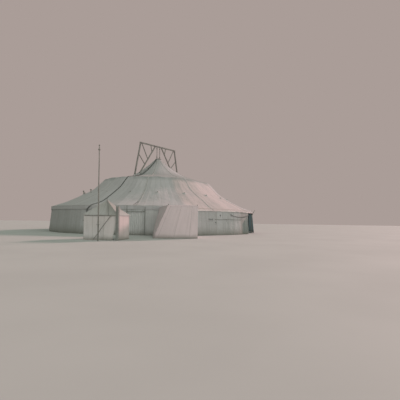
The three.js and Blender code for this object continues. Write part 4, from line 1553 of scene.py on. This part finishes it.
def makeLacedLine(name, swing):
    # the dark laced line from the crown down to the wall; swing puts it on the other side
    look = lacedLook
    knots = [(angle + swing, radius) for angle, radius in look["knots"]]
    _, radius, path = onRoofPath(knots, look["ropeRadius"] * 0.8)
    down = onWallPath([(angle + swing, height) for angle, height in look["wall"]], look["ropeRadius"])
    whole = resample(np.concatenate([path, down]), 0.06)
    for _ in range(3):
        whole[1:-1] = (whole[:-2] + whole[1:-1] * 2 + whole[2:]) / 4
    pieces = doubled("rope", whole, look["ropeRadius"] * 0.95, look["ropeRadius"], "tarred")
    distance = lengthsAlong(whole)
    starts = np.arange(0.3, distance[-1] - 0.1, look["lashing"])
    outwards = pointAt(whole, distance, starts) - (middleX, middleY, 0)
    outwards[:, 2] = 6.0
    pieces += lashingTurns(whole, starts, outwards, (0.072, 0.042), 0.011, "hempDark")
    ropes = joined(name + "Ropes", pieces)
    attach(ropes, "root")

    # the roll of canvas above the shoulder, gripped by its lashing; its near-black cloth is painted
    # shade
    keep = radius < look["rollEnd"]
    spine = resample(path[keep] + np.array([0, 0, 0.035]), 0.05)
    share = np.linspace(0, 1, len(spine))
    turn = circleTurns(20)
    metres = lengthsAlong(spine)
    half = look["lashing"] / 2
    gripped = 1 - 0.24 * bump((metres + half) % look["lashing"], half, 0.035)
    fat = 1 + 0.28 * ripple(metres * 0.45, 2.0, 301) + 0.5 * bump(share, 0.42, 0.05)
    fat = look["rollRadius"] * fat * gripped
    fat = fat * np.clip(share * 18, 0.35, 1) * np.clip((1 - share) * 12, 0.25, 1)
    wrinkled = 1 + 0.06 * ripple(turn[None, :] * 1.6, metres[:, None] * 2.5, 302)
    section = together(np.cos(turn) * 1.25, np.sin(turn) * 0.8)
    sections = fat[:, None, None] * wrinkled[..., None] * section[None]
    roll = sweep(name + "Roll", spine, sections, "rollShadeCanvas")
    cut = together(turn[None, :] * 0.08, metres[:, None])
    addUv(roll, "gore", cut, period=math.tau * 0.08)
    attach(roll, "root")
    starts = np.arange(half, metres[-1] - 0.1, look["lashing"])
    sizes = np.outer(np.interp(starts, metres, fat), (1.3, 0.86))
    turns = lashingTurns(spine, starts, (0, 0, 1), sizes, 0.010, "tarred")
    lashing = joined(name + "RollLashing", turns)
    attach(lashing, "root")


jointLook = {"wide": 0.17, "lift": 0.009, "cord": 0.008, "pitch": 0.24}


def makeJoints():
    # tabling and lacing along each of the ten joints of the roof
    for i in range(10):
        seam = tentShape["firstSeam"] + i * tentShape["sectionAngle"]
        radius = np.interp(np.linspace(0.02, 0.995, 170), roofShare, roofRadii)
        across = np.array([-0.5, -0.46, -0.2, 0.0, 0.2, 0.46, 0.5])
        lift = np.array([-0.006, 1, 1, 1.4, 1, 1, -0.006]) * jointLook["lift"]
        wide = jointLook["wide"] * np.clip(radius / 1.2, 0.3, 1)
        angle = seam + np.degrees(across[None, :] * wide[:, None] / radius[:, None])
        height = roofHeight(angle, radius[:, None]) + lift[None, :]
        grid = around(angle, radius[:, None], height)
        run = lengthsAlong(grid[:, 3])
        cut = together(across[None, :] * jointLook["wide"], run[:, None])
        tabling = clothSheet("tabling%d" % (i + 1), grid, "webbing", cut)
        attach(tabling, "root")
        # the lacing cord zigzags over the middle of the tabling
        at = np.arange(0.25, run[-1] - 0.1, jointLook["pitch"] / 4)
        swing = np.sin(at / jointLook["pitch"] * math.tau)
        reach = np.interp(at, run, radius)
        side = 0.045 * np.clip(swing * 1.6, -1, 1)
        cordAngle = seam + np.degrees(side / reach)
        path = around(cordAngle, reach, roofHeight(cordAngle, reach) + 0.022)
        cord = cordAlong("lacing%d" % (i + 1), path, jointLook["cord"], 5, "hempPale")
        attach(cord, "root")


def ringRope(name, ringRadius, height, radius, material, spacing=0.12):
    angle = np.linspace(0, 360, int(math.tau * ringRadius / spacing))
    heights = height(angle) if callable(height) else height
    path = around(angle, ringRadius, heights + 0 * angle)
    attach(cordAlong(name, path, radius, 7, material), "root")


def makeRingRopes():
    ringRope("outerRingRope", tentShape["outerPoles"] + 0.05, 3.9, 0.012, "hemp")
    ringRope("eaveRingRope", 13.14, 2.78, 0.012, "hemp")
    # bolt ropes sewn into the eave and the hem of the valance
    edge = tentShape["eave"] + 0.012

    def eaveHeight(angle):
        return roofHeight(angle, tentShape["eave"] + 0 * angle) - 0.004

    ringRope("eaveBoltRope", edge, eaveHeight, 0.013, "hempPale", 0.05)
    angle = np.linspace(0, 360, 1700)
    hem = hemHeight(angle)
    path = around(angle, eaveRadius(angle, hem) + 0.004, hem)
    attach(cordAlong("valanceBoltRope", path, 0.009, 6, "hempPale"), "root")


tipLook = {
    # radius, height above the cloth
    "patch": ((0.055, 0.028), (0.07, 0.02), (0.14, 0.008), (0.235, 0.008), (0.25, -0.004)),
    "collars": ((0.056, 0.035), (0.052, 0.058)),
    "knob": ((0.3, 0), (0.75, 0.12), (1.0, 0.5), (1.0, 0.85), (0.82, 1.3), (0.45, 1.6), (0.12, 1.7)),
}


def makeTips():
    # patches, collars and knobs where the outer poles come through the canvas
    first, last = poleLook["tallTips"]
    radius = tentShape["outerPoles"]
    rings, lift = np.array(tipLook["patch"]).T
    patches, collars, knobs = [], [], []
    for angle in np.arange(0, 360, tentShape["bay"]):
        turn = -circleTurns(28)
        cut = rings[:, None, None] * together(np.cos(turn), np.sin(turn))
        reach = radius + cut[..., 0]
        swing = angle + np.degrees(cut[..., 1] / reach)
        points = around(swing, reach, roofHeight(swing, reach) + lift[:, None])
        patch = clothSheet("patch", points, "webbing", cut, closed=True)
        patches.append(patch)
        foot = around(angle, radius, float(roofHeight(angle, radius)))
        for wide, level in tipLook["collars"]:
            circle = np.linspace(0, math.tau * 1.03, 22)
            rise = level + 0.004 * np.sin(circle)
            path = foot + together(wide * np.cos(circle), wide * np.sin(circle), rise)
            collars.append(ropeAlong("collar", path, 0.010, "hempPale", fine=1.0))
        size = poleLook["knob"] * (1.9 if first < angle < last else 0.7)
        top = (foot[0], foot[1], outerTip(angle) - 0.02)
        knobs.append(upright("knob", np.array(tipLook["knob"]) * size, 14, top, "pole"))
    for name, group in (("polePatches", patches), ("poleCollars", collars), ("poleKnobs", knobs)):
        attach(joined(name, group), "root")


bootLook = {
    "onRoof": (0.205, 0.125),  # half its length and width where it is sewn to the roof
    "round": (0.105, 0.085),
    "rise": 0.30,
    "legAt": 4.16,
    "diagonalAt": 3.23,
    "cut": (0.95, 0.33),  # width and length of the cloth
}


def onRoofAt(point):
    angle = np.degrees(np.arctan2(point[..., 1] - middleY, point[..., 0] - middleX))
    radius = np.hypot(point[..., 0] - middleX, point[..., 1] - middleY)
    return roofHeight(angle, radius)


def makeBoot(name, at, heightAt, side, seed):
    # a canvas boot sewn round the opening and lashed to the timber that comes through it
    rows, columns = 9, 48
    # where the timber meets the cloth as it really hangs
    tries = np.linspace(at - 0.4, at + 0.6, 201)
    above = heightAt(tries) - roofHeight(gantryShape["angle"] + (side < 0) * 180 + 0 * tries, tries)
    at = float(np.interp(0, -above, tries))
    turn = circleTurns(columns)[None, :]
    squareX = np.sign(np.cos(turn)) * np.abs(np.cos(turn)) ** 0.55
    squareY = np.sign(np.sin(turn)) * np.abs(np.sin(turn)) ** 0.55
    share = np.linspace(0, 1, rows)[:, None]
    rise = bootLook["rise"] * share
    slope = (heightAt(at + 0.1) - heightAt(at)) / 0.1
    start = heightAt(at)
    middle = at + rise / slope
    sewn, top = np.array(bootLook["onRoof"]), np.array(bootLook["round"])
    halfLong, halfWide = np.moveaxis(sewn + (top - sewn) * share[..., None] ** 0.7, -1, 0)
    pucker = 1 + 0.05 * share * (1 - share) * 4 * ripple(turn * 2.3 + 0 * share, share * 1.5, seed)
    t = side * (middle + halfLong * squareX * pucker)
    aside = halfWide * squareY * pucker
    points = standing((0, 0), gantryShape["angle"], t, -aside, 0.0)
    foot = onRoofAt(points) + 0.012
    points[..., 2] = foot + (start + bootLook["rise"] - foot) * share
    points[0, :, 2] = foot[0] - 0.024
    cut = together(turn * 0.15, share * bootLook["rise"])
    boot = clothSheet(name, points, "webbing", cut, closed=True)
    fixNormals(boot)
    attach(boot, "root")
    turns = []
    along = inGantry(side * (at + 0.1), heightAt(at + 0.1)) - inGantry(side * at, start)
    for k in range(4):
        high = start + bootLook["rise"] - 0.05 + 0.021 * k
        centre = np.array(inGantry(side * (at + (high - start) / slope), high))
        size = 0.090, 0.096, 0.010
        turns.append(lashingTurn("bootCord", centre, along, (0, 0, 1), *size, "hempDark"))
    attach(joined(name + "Cord", turns), "root")


def makeBoots():
    def legHeight(t):
        drop = (t - gantryShape["legAtBeam"]) / (gantryShape["legAtGround"] - gantryShape["legAtBeam"])
        return gantryShape["beamBottom"] * (1 - drop)

    def diagonalHeight(t):
        footAt, footHeight = gantryShape["diagonalFoot"]
        share = (t - gantryShape["diagonalAtBeam"]) / (footAt - gantryShape["diagonalAtBeam"])
        return gantryShape["beamBottom"] + (footHeight - gantryShape["beamBottom"]) * share

    for side, end in ((-1, "front"), (1, "back")):
        legAt, diagonalAt = bootLook["legAt"], bootLook["diagonalAt"]
        makeBoot("legBoot_" + end, legAt, legHeight, side, 501 + side)
        makeBoot("diagonalBoot_" + end, diagonalAt, diagonalHeight, side, 505 + side)


crownShape = {"outer": 0.3, "inner": 0.235, "low": 9.792, "high": 9.868, "lashed": 0.43, "turns": 40}


def makeCrown():
    # the iron crown ring with its lashing and the two tackles up to the beam
    shape = gantryShape
    outer, inner, low, high = (crownShape[name] for name in ("outer", "inner", "low", "high"))
    profile = np.array([
        (inner, low + 0.012), (inner + 0.012, low),
        (outer - 0.014, low), (outer - 0.002, low + 0.014),
        (outer - 0.002, high - 0.014), (outer - 0.014, high),
        (inner + 0.012, high), (inner, high - 0.012),
    ])
    turn = np.degrees(circleTurns(64))
    points = around(turn[None, :], profile[:, :1], profile[:, 1:])
    iron = newObject("crownRing", points, hoopFaces(*points.shape[:2]), "iron")
    fixNormals(iron)
    eye = [(0.02, -0.03), (0.03, 0), (0.03, 0.03), (0.018, 0.05), (0.018, 0.1)]
    pieces = [iron]
    beamUnder = shape["beamBottom"]
    ropes, blocks = [], []
    for side in (-1, 1):
        at = side * shape["ringAt"]
        foot = inGantry(at, shape["ringTop"])
        pieces.append(upright("eye", eye, 12, foot, "iron"))
        for z, flip in ((beamUnder - 0.19, 1), (shape["ringTop"] + 0.2, -1)):
            blocks.append(blockShell("block", inGantry(at, z), flip))
        for part in (-0.045, -0.015, 0.015, 0.045):
            start = inGantry(at + part, shape["ringTop"] + 0.2, 0.3 * part)
            end = inGantry(at + part * 0.9, beamUnder - 0.19, -0.3 * part)
            ropes.append(ropeAlong("fall", [start, end], 0.009, "tarred", fine=4))
        strop = np.linspace(0, math.tau * 1.02, 30)
        rise = 0.5 * (shape["beamTop"] - beamUnder + 0.13) * np.sin(strop)
        middle = (shape["beamTop"] + beamUnder) / 2 - 0.05
        swing = at + 0.01 * np.sin(2 * strop)
        loop = standing((0, 0), shape["angle"], swing, -0.085 * np.cos(strop), middle + rise)
        ropes.append(ropeAlong("strop", loop, 0.014, "tarred", fine=2))
    crown = joined("crownRing", pieces)
    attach(crown, "root")
    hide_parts("crown_ring_and_falls")
    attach(joined("tackleRopes", ropes), "root")
    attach(joined("tackleBlocks", blocks), "root")
    # the head rope of the canvas is lashed to the ring
    lashed, count = crownShape["lashed"], crownShape["turns"]
    turns = []
    for k in range(count):
        angle = k * 360 / count + 2
        over = around(angle, 0.305, 9.835)
        cloth = around(angle + 2, lashed, float(roofHeight(angle, lashed)) + 0.012)
        under = around(angle + 4.5, 0.312, 9.8)
        down, back = (over + cloth) / 2 + (0, 0, 0.012), (cloth + under) / 2 + (0, 0, 0.02)
        path = smoothLine([over, down, cloth, back, under], 16)
        turns.append(cordAlong("turn", path, 0.007, 5, "hempDark"))
    angle = np.linspace(0, 361, 90)
    headRope = around(angle, lashed + 0.01, roofHeight(angle, lashed + 0.01) + 0.012)
    turns.append(ropeAlong("headRope", headRope, 0.016, "hempDark", fine=2))
    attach(joined("crownLashing", turns), "root")


def blockShell(name, centre, flip):
    # a wooden pulley block, turned as one rounded body
    outline = (
        (0.012, -0.125), (0.05, -0.11), (0.075, -0.06), (0.082, 0.0),
        (0.072, 0.065), (0.045, 0.11), (0.014, 0.125),
    )
    profile = [(wide, high * flip) for wide, high in outline[::flip]]
    return upright(name, profile, 16, centre, "timber")


makeLacedLine("nearLine", 0.0)
makeLacedLine("farLine", 180.0)
makeJoints()
makeRingRopes()
makeTips()
makeBoots()
makeCrown()
print("ropes, lacing and crown made")


# Light frames of the entrance, porch and booth, and the flag mast
frameLook = {
    "entranceAngle": 261.0,
    "entranceHalf": 3.85,
    "outside": 0.031,
    "entranceTops": (2.96, 2.82),
    "lintel": 2.33,
    "entrancePole": 0.035,
    "porchPost": 0.038,
    "porchRail": 0.030,
    "porchRailHeight": 2.72,
    "porchTip": 2.90,
    "boothPost": 0.028,
    "boothRail": 0.025,
    "boothRailHeight": 1.81,
    "boothTip": 3.12,
    "boothBar": 1.8,
    "mast": (-4.09, -22.6),
    "mastTop": 6.72,
    "mastRadius": (0.050, 0.030),
    "mastBall": 6.42,
    "cleat": 1.15,
}


def tied(name, centre, along, across, halfWide, halfTall, turns=4, pitch=0.019):
    # a few turns of cord around a joint, side by side
    along = np.array(Vector(along).normalized())
    pieces = []
    for k in range(turns):
        place = np.array(centre, float) + along * (k - (turns - 1) / 2) * pitch
        up = np.cross(along, across)
        pieces.append(lashingTurn(name, place, across, up, halfWide, halfTall, 0.009, "hemp"))
    return pieces


def makeEntranceFrame():
    radius = frameLook["entrancePole"]
    outside = frameLook["outside"]
    pieces, heads = [], []
    for side in (-1, 1):
        angle = frameLook["entranceAngle"] + side * frameLook["entranceHalf"]
        top = frameLook["entranceTops"][(side + 1) // 2]
        foot = around(angle, float(wallRadius(0.0)) + outside, 0.0)
        head = around(angle, 13.30, top)
        pieces.append(roundPole("entrancePost", foot, head, radius, radius * 0.75, 401 + side))
        share = frameLook["lintel"] / top
        heads.append(foot + (head - foot) * share)
    beyond = (heads[1] - heads[0]) * 0.03
    ends = heads[0] - beyond, heads[1] + beyond
    pieces.append(roundPole("entranceLintel", *ends, radius, radius * 0.9, 405))
    along = (heads[1] - heads[0]) / np.linalg.norm(heads[1] - heads[0])
    for head in heads:
        pieces += tied("entranceTie", head, (0, 0, 1), along, radius * 1.25, radius * 1.5)
    frame = joined("entranceFrame", pieces)
    frame.data.materials[0] = materials["postTimber"]
    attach(frame, "root")
    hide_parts("entrance_frame")

    # a cord is laced up the roof beside the entrance and made fast to its left post
    line = onRoofPath(((260.4, 11.7), (260.0, 12.5), (259.5, 13.19)), 0.03)[2]
    cord = ropeAlong("entranceCord", line, 0.017, "tarred")
    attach(cord, "root")


def makePorchFrame():
    radius, rail = frameLook["porchPost"], frameLook["porchRail"]
    front, back = porchShape["posts"]
    at = porchShape["postAt"]
    railHeight = frameLook["porchRailHeight"]
    pieces = []
    girth = radius * 1.2, radius * 1.2
    for k, (x, top) in enumerate(((front, frameLook["porchTip"]), (back, railHeight + rail))):
        for side in (-1, 1):
            foot, head = inPorch(x, side * at, 0.0), inPorch(x, side * at, top)
            pieces.append(roundPole("porchPost", foot, head, radius, radius * 0.85, 411 + 2 * k + side))
        ends = [inPorch(x, side * (at + 0.03), railHeight) for side in (-1, 1)]
        pieces.append(roundPole("porchRail", *ends, rail, rail * 0.9, 417 + k))
    for side in (-1, 1):
        ends = [inPorch(x, side * at, railHeight) for x in (back - 0.03, front + 0.03)]
        pieces.append(roundPole("porchRail", *ends, rail, rail * 0.9, 421 + side))
        for x in (front, back):
            centre = inPorch(x, side * at, railHeight)
            outwards = inPorch(x + 1, side * at, railHeight) - centre
            pieces += tied("porchTie", centre - (0, 0, 0.05), (0, 0, 1), outwards, *girth, turns=3)
    frame = joined("porchFrame", pieces)
    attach(frame, "root")
    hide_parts("porch_frame")


def makeBoothFrame():
    radius, rail = frameLook["boothPost"], frameLook["boothRail"]
    atX, atY = boothShape["halfWidth"] - 0.05, boothShape["halfDepth"] - 0.05
    railHeight = frameLook["boothRailHeight"]
    pieces = []
    girth = radius * 1.2, radius * 1.2
    for k, (x, y) in enumerate(((-atX, -atY), (-atX, atY), (atX, atY))):
        ends = inBooth(x, y, 0.0), inBooth(x, y, boothShape["wallHead"])
        pieces.append(roundPole("boothPost", *ends, radius, radius * 0.9, 431 + k))
        centre = inBooth(x, y, railHeight - 0.045)
        outwards = inBooth(x + 1, y, railHeight - 0.045) - centre
        pieces += tied("boothTie", centre, (0, 0, 1), outwards, *girth, turns=3)
    spans = (
        ((-atX, -atY), (-atX, atY)),
        ((-atX, atY), (atX, atY)),
        ((-atX, -atY), (1.26, -atY)),
        ((0, -atY), (0, atY)),
    )
    for k, span in enumerate(spans):
        ends = [inBooth(*end, railHeight) for end in span]
        pieces.append(roundPole("boothRail", *ends, rail, rail * 0.9, 436 + k))
    ends = inBooth(0, 0, 0.0), inBooth(0, 0, frameLook["boothTip"])
    pieces.append(roundPole("boothMiddle", *ends, 0.030, 0.024, 442))
    frame = joined("boothFrame", pieces)
    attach(frame, "root")
    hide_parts("booth_frame")

    post = hewnTimber("booth_corner_post", "boothCornerPost", 445)
    post.data.materials[0] = materials["postTimber"]

    # a stay runs from the tip of the middle pole down over the front of the roof to the bar
    apex, eave = boothShape["apex"], boothShape["halfDepth"] + boothShape["overhang"]
    knots = np.array([
        inBooth(0.0, -0.03, apex + 0.05),
        inBooth(0.30, -0.42 * eave, apex - 0.42 * 1.13 + 0.03),
        inBooth(0.66, -eave - 0.02, boothShape["eave"] + 0.03),
        inBooth(0.66, -eave - 0.02, 1.84),
    ])
    stay = ropeAlong("boothStay", resample(knots, 0.05), 0.012, "tarred")
    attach(stay, "root")

    # the bar across the front and its prop
    high = frameLook["boothBar"]
    ends = inBooth(-1.26, -1.034, high), inBooth(1.26, -1.034, high)
    bar = roundPole("boothBar", *ends, 0.027, 0.024, 447)
    ends = inBooth(0.85, -1.056, high), inBooth(-0.36, -1.435, 0.0)
    prop = roundPole("boothProp", *ends, 0.024, 0.022, 449)
    centre = inBooth(0.85, -1.045, high)
    along, across = inBooth(1.85, -1.045, high) - centre, inBooth(0.85, -0.045, high) - centre
    ties = tied("barTie", centre, along, across, 0.045, 0.042)
    front = joined("boothBarAndProp", [bar, prop] + ties)
    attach(front, "root")
    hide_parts("booth_bar_and_prop")


def makeMast():
    x, y = frameLook["mast"]
    x, y = middleX + x, middleY + y
    foot, top = np.array((x, y, 0.0)), np.array((x, y, frameLook["mastTop"]))
    wide, narrow = frameLook["mastRadius"]
    pole = roundPole("mastPole", foot, top, wide, narrow, 461, sides=16, step=0.22)
    height = frameLook["mastBall"]
    ball = [
        (0.02, -0.076), (0.045, -0.068), (0.062, -0.05), (0.073, -0.02),
        (0.073, 0.02), (0.062, 0.05), (0.045, 0.066), (0.02, 0.074),
    ]
    knob = upright("mastKnob", ball, 20, (x, y, height), "pole")
    truck = [
        (0.02, -0.045), (0.042, -0.040), (0.05, -0.02), (0.05, 0.01), (0.036, 0.034), (0.012, 0.046),
    ]
    cap = upright("mastTruck", truck, 18, top, "pole")
    # the line runs from the cleat over the truck and back, pulled tight against the pole
    cleatAt = frameLook["cleat"]
    lines = []
    for side in (-1, 1):
        knots = np.array((
            (x + side * 0.014, y - wide - 0.010, cleatAt),
            (x + side * 0.020, y - wide - 0.012, cleatAt + 1.2),
            (x + side * 0.020, y - narrow - 0.026, height - 0.3),
            (x + side * 0.020, y - 0.080, height),
            (x + side * 0.016, y - narrow - 0.022, frameLook["mastTop"] - 0.05),
        ))
        lines.append(ropeAlong("mastLine", resample(knots, 0.06), 0.006, "hempPale", fine=2.0))
    for k in range(5):
        place = (x, y - wide - 0.025, cleatAt - 0.02 + k * 0.012)
        size = 0.052 - 0.004 * k, 0.024, 0.006
        lines.append(lashingTurn("cleatTurn", place, (1, 0, 0), (0, 0.45, 1), *size, "hempPale"))
    horn = [
        (0.006, -0.11), (0.012, -0.105), (0.016, -0.04), (0.020, 0.0),
        (0.016, 0.04), (0.012, 0.105), (0.006, 0.11),
    ]
    foot = (x, y - wide - 0.022, cleatAt)
    cleat = turned("mastCleat", horn, 10, foot, (1, 0, 0), "iron")
    mast = joined("flagMast", [pole, knob, cap])
    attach(mast, "root")
    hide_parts("flag_mast")
    for piece in (joined("mastLines", lines), cleat):
        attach(piece, "root")


sparLook = {"foot": (341.5, 13.06, 2.16), "reach": (0.42, -0.12, 0.80), "ties": (0.12, 0.34)}


def makeSpar():
    # a short spar is lashed to the head of the pole beside the open bay and stands out from it
    foot = around(*sparLook["foot"])
    head = foot + sparLook["reach"]
    spar = roundPole("eaveSpar", foot, head, 0.036, 0.030, 471, step=0.1)
    spar.data.materials[0] = materials["timber"]
    ties = []
    for share in sparLook["ties"]:
        place = foot + (head - foot) * share
        ties += tied("sparTie", place, head - foot, (0, 1, 0), 0.06, 0.055, turns=3)
    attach(joined("eaveSpar", [spar] + ties), "root")


makeEntranceFrame()
makeSpar()
makePorchFrame()
makeBoothFrame()
makeMast()
print("frames and mast made")


# Floor, light and camera
stageLook = {
    "floorSize": 260.0,
    "floor": (0.50, 0.52, 0.51),
    "sky": (0.325, 0.345, 0.30),  # what lights the tent
    "backdrop": (0.402, 0.337, 0.314),  # what the camera sees behind it
    "lamps": {
        # azimuth from +X towards +Y, height, strength, colour, degrees across
        "lowSun": (38.0, 24.5, 2.55, (1.0, 0.62, 0.64), 8.0),
        "frontFill": (-62.0, 28.0, 1.12, (0.98, 1.0, 0.93), 70.0),
    },
}


def floorMaterial():
    material, tree, body, _ = newMaterial("paleFloor")
    position = put(tree, "TexCoord").outputs["Object"]
    patches = noise(tree, position, 0.25, 6.0)
    pale = stageLook["floor"]
    darker = tuple(value * 0.94 for value in pale)
    colour = blendColour(tree, band(tree, patches, 0.3, 0.7), pale, darker)
    tree.links.new(colour, body.inputs["Base Color"])
    tree.links.new(calc(tree, "MULTIPLY_ADD", patches, 0.1, 0.85), body.inputs["Roughness"])
    return material


def makeStage():
    half = stageLook["floorSize"] / 2
    low = -0.004  # a little under the tent's feet
    corners = [(-half, -half, low), (half, -half, low), (half, half, low), (-half, half, low)]
    materials["floor"] = floorMaterial()
    floor = newObject("floor", corners, [(0, 1, 2, 3)], "floor")

    world = bpy.data.worlds.new("paleSky")
    world.use_nodes = True
    tree = world.node_tree
    seen = put(tree, "LightPath").outputs["Is Camera Ray"]
    colour = blendColour(tree, seen, stageLook["sky"], stageLook["backdrop"])
    tree.links.new(colour, tree.nodes["Background"].inputs["Color"])
    scene.world = world

    for name, (azimuth, height, strength, colour, across) in stageLook["lamps"].items():
        lamp = bpy.data.lights.new(name, "SUN")
        lamp.energy = strength
        lamp.color = colour
        lamp.angle = math.radians(across)
        place = bpy.data.objects.new(name, lamp)
        turn, rise = math.radians(azimuth), math.radians(height)
        level = math.cos(rise)
        towards = Vector((math.cos(turn) * level, math.sin(turn) * level, math.sin(rise)))
        place.rotation_euler = towards.to_track_quat("Z", "Y").to_euler()
        scene.collection.objects.link(place)
    scene.view_settings.view_transform = "Standard"


cameraPlace = {
    "from": (0.0, -47.5, 1.6),  # metres from the tent's middle
    "heading": 8.41,  # degrees to the right of +Y
    "roll": 0.9,
    "lens": 30.87,
    "shift": (-0.02, 0.05),
}


def makeCamera():
    lens = bpy.data.cameras.new("camera")
    lens.sensor_width = 36.0
    lens.lens = cameraPlace["lens"]
    lens.shift_x, lens.shift_y = cameraPlace["shift"]
    lens.clip_end = 500.0
    camera = bpy.data.objects.new("camera", lens)
    x, y, z = cameraPlace["from"]
    camera.location = (middleX + x, middleY + y, z)
    level = Matrix.Rotation(math.radians(90), 4, "X")
    heading = Matrix.Rotation(-math.radians(cameraPlace["heading"]), 4, "Z")
    rolled = Matrix.Rotation(math.radians(cameraPlace["roll"]), 4, "Z")
    camera.rotation_euler = (heading @ level @ rolled).to_euler()
    scene.collection.objects.link(camera)
    scene.camera = camera


makeStage()
makeCamera()
print("stage, light and camera set")
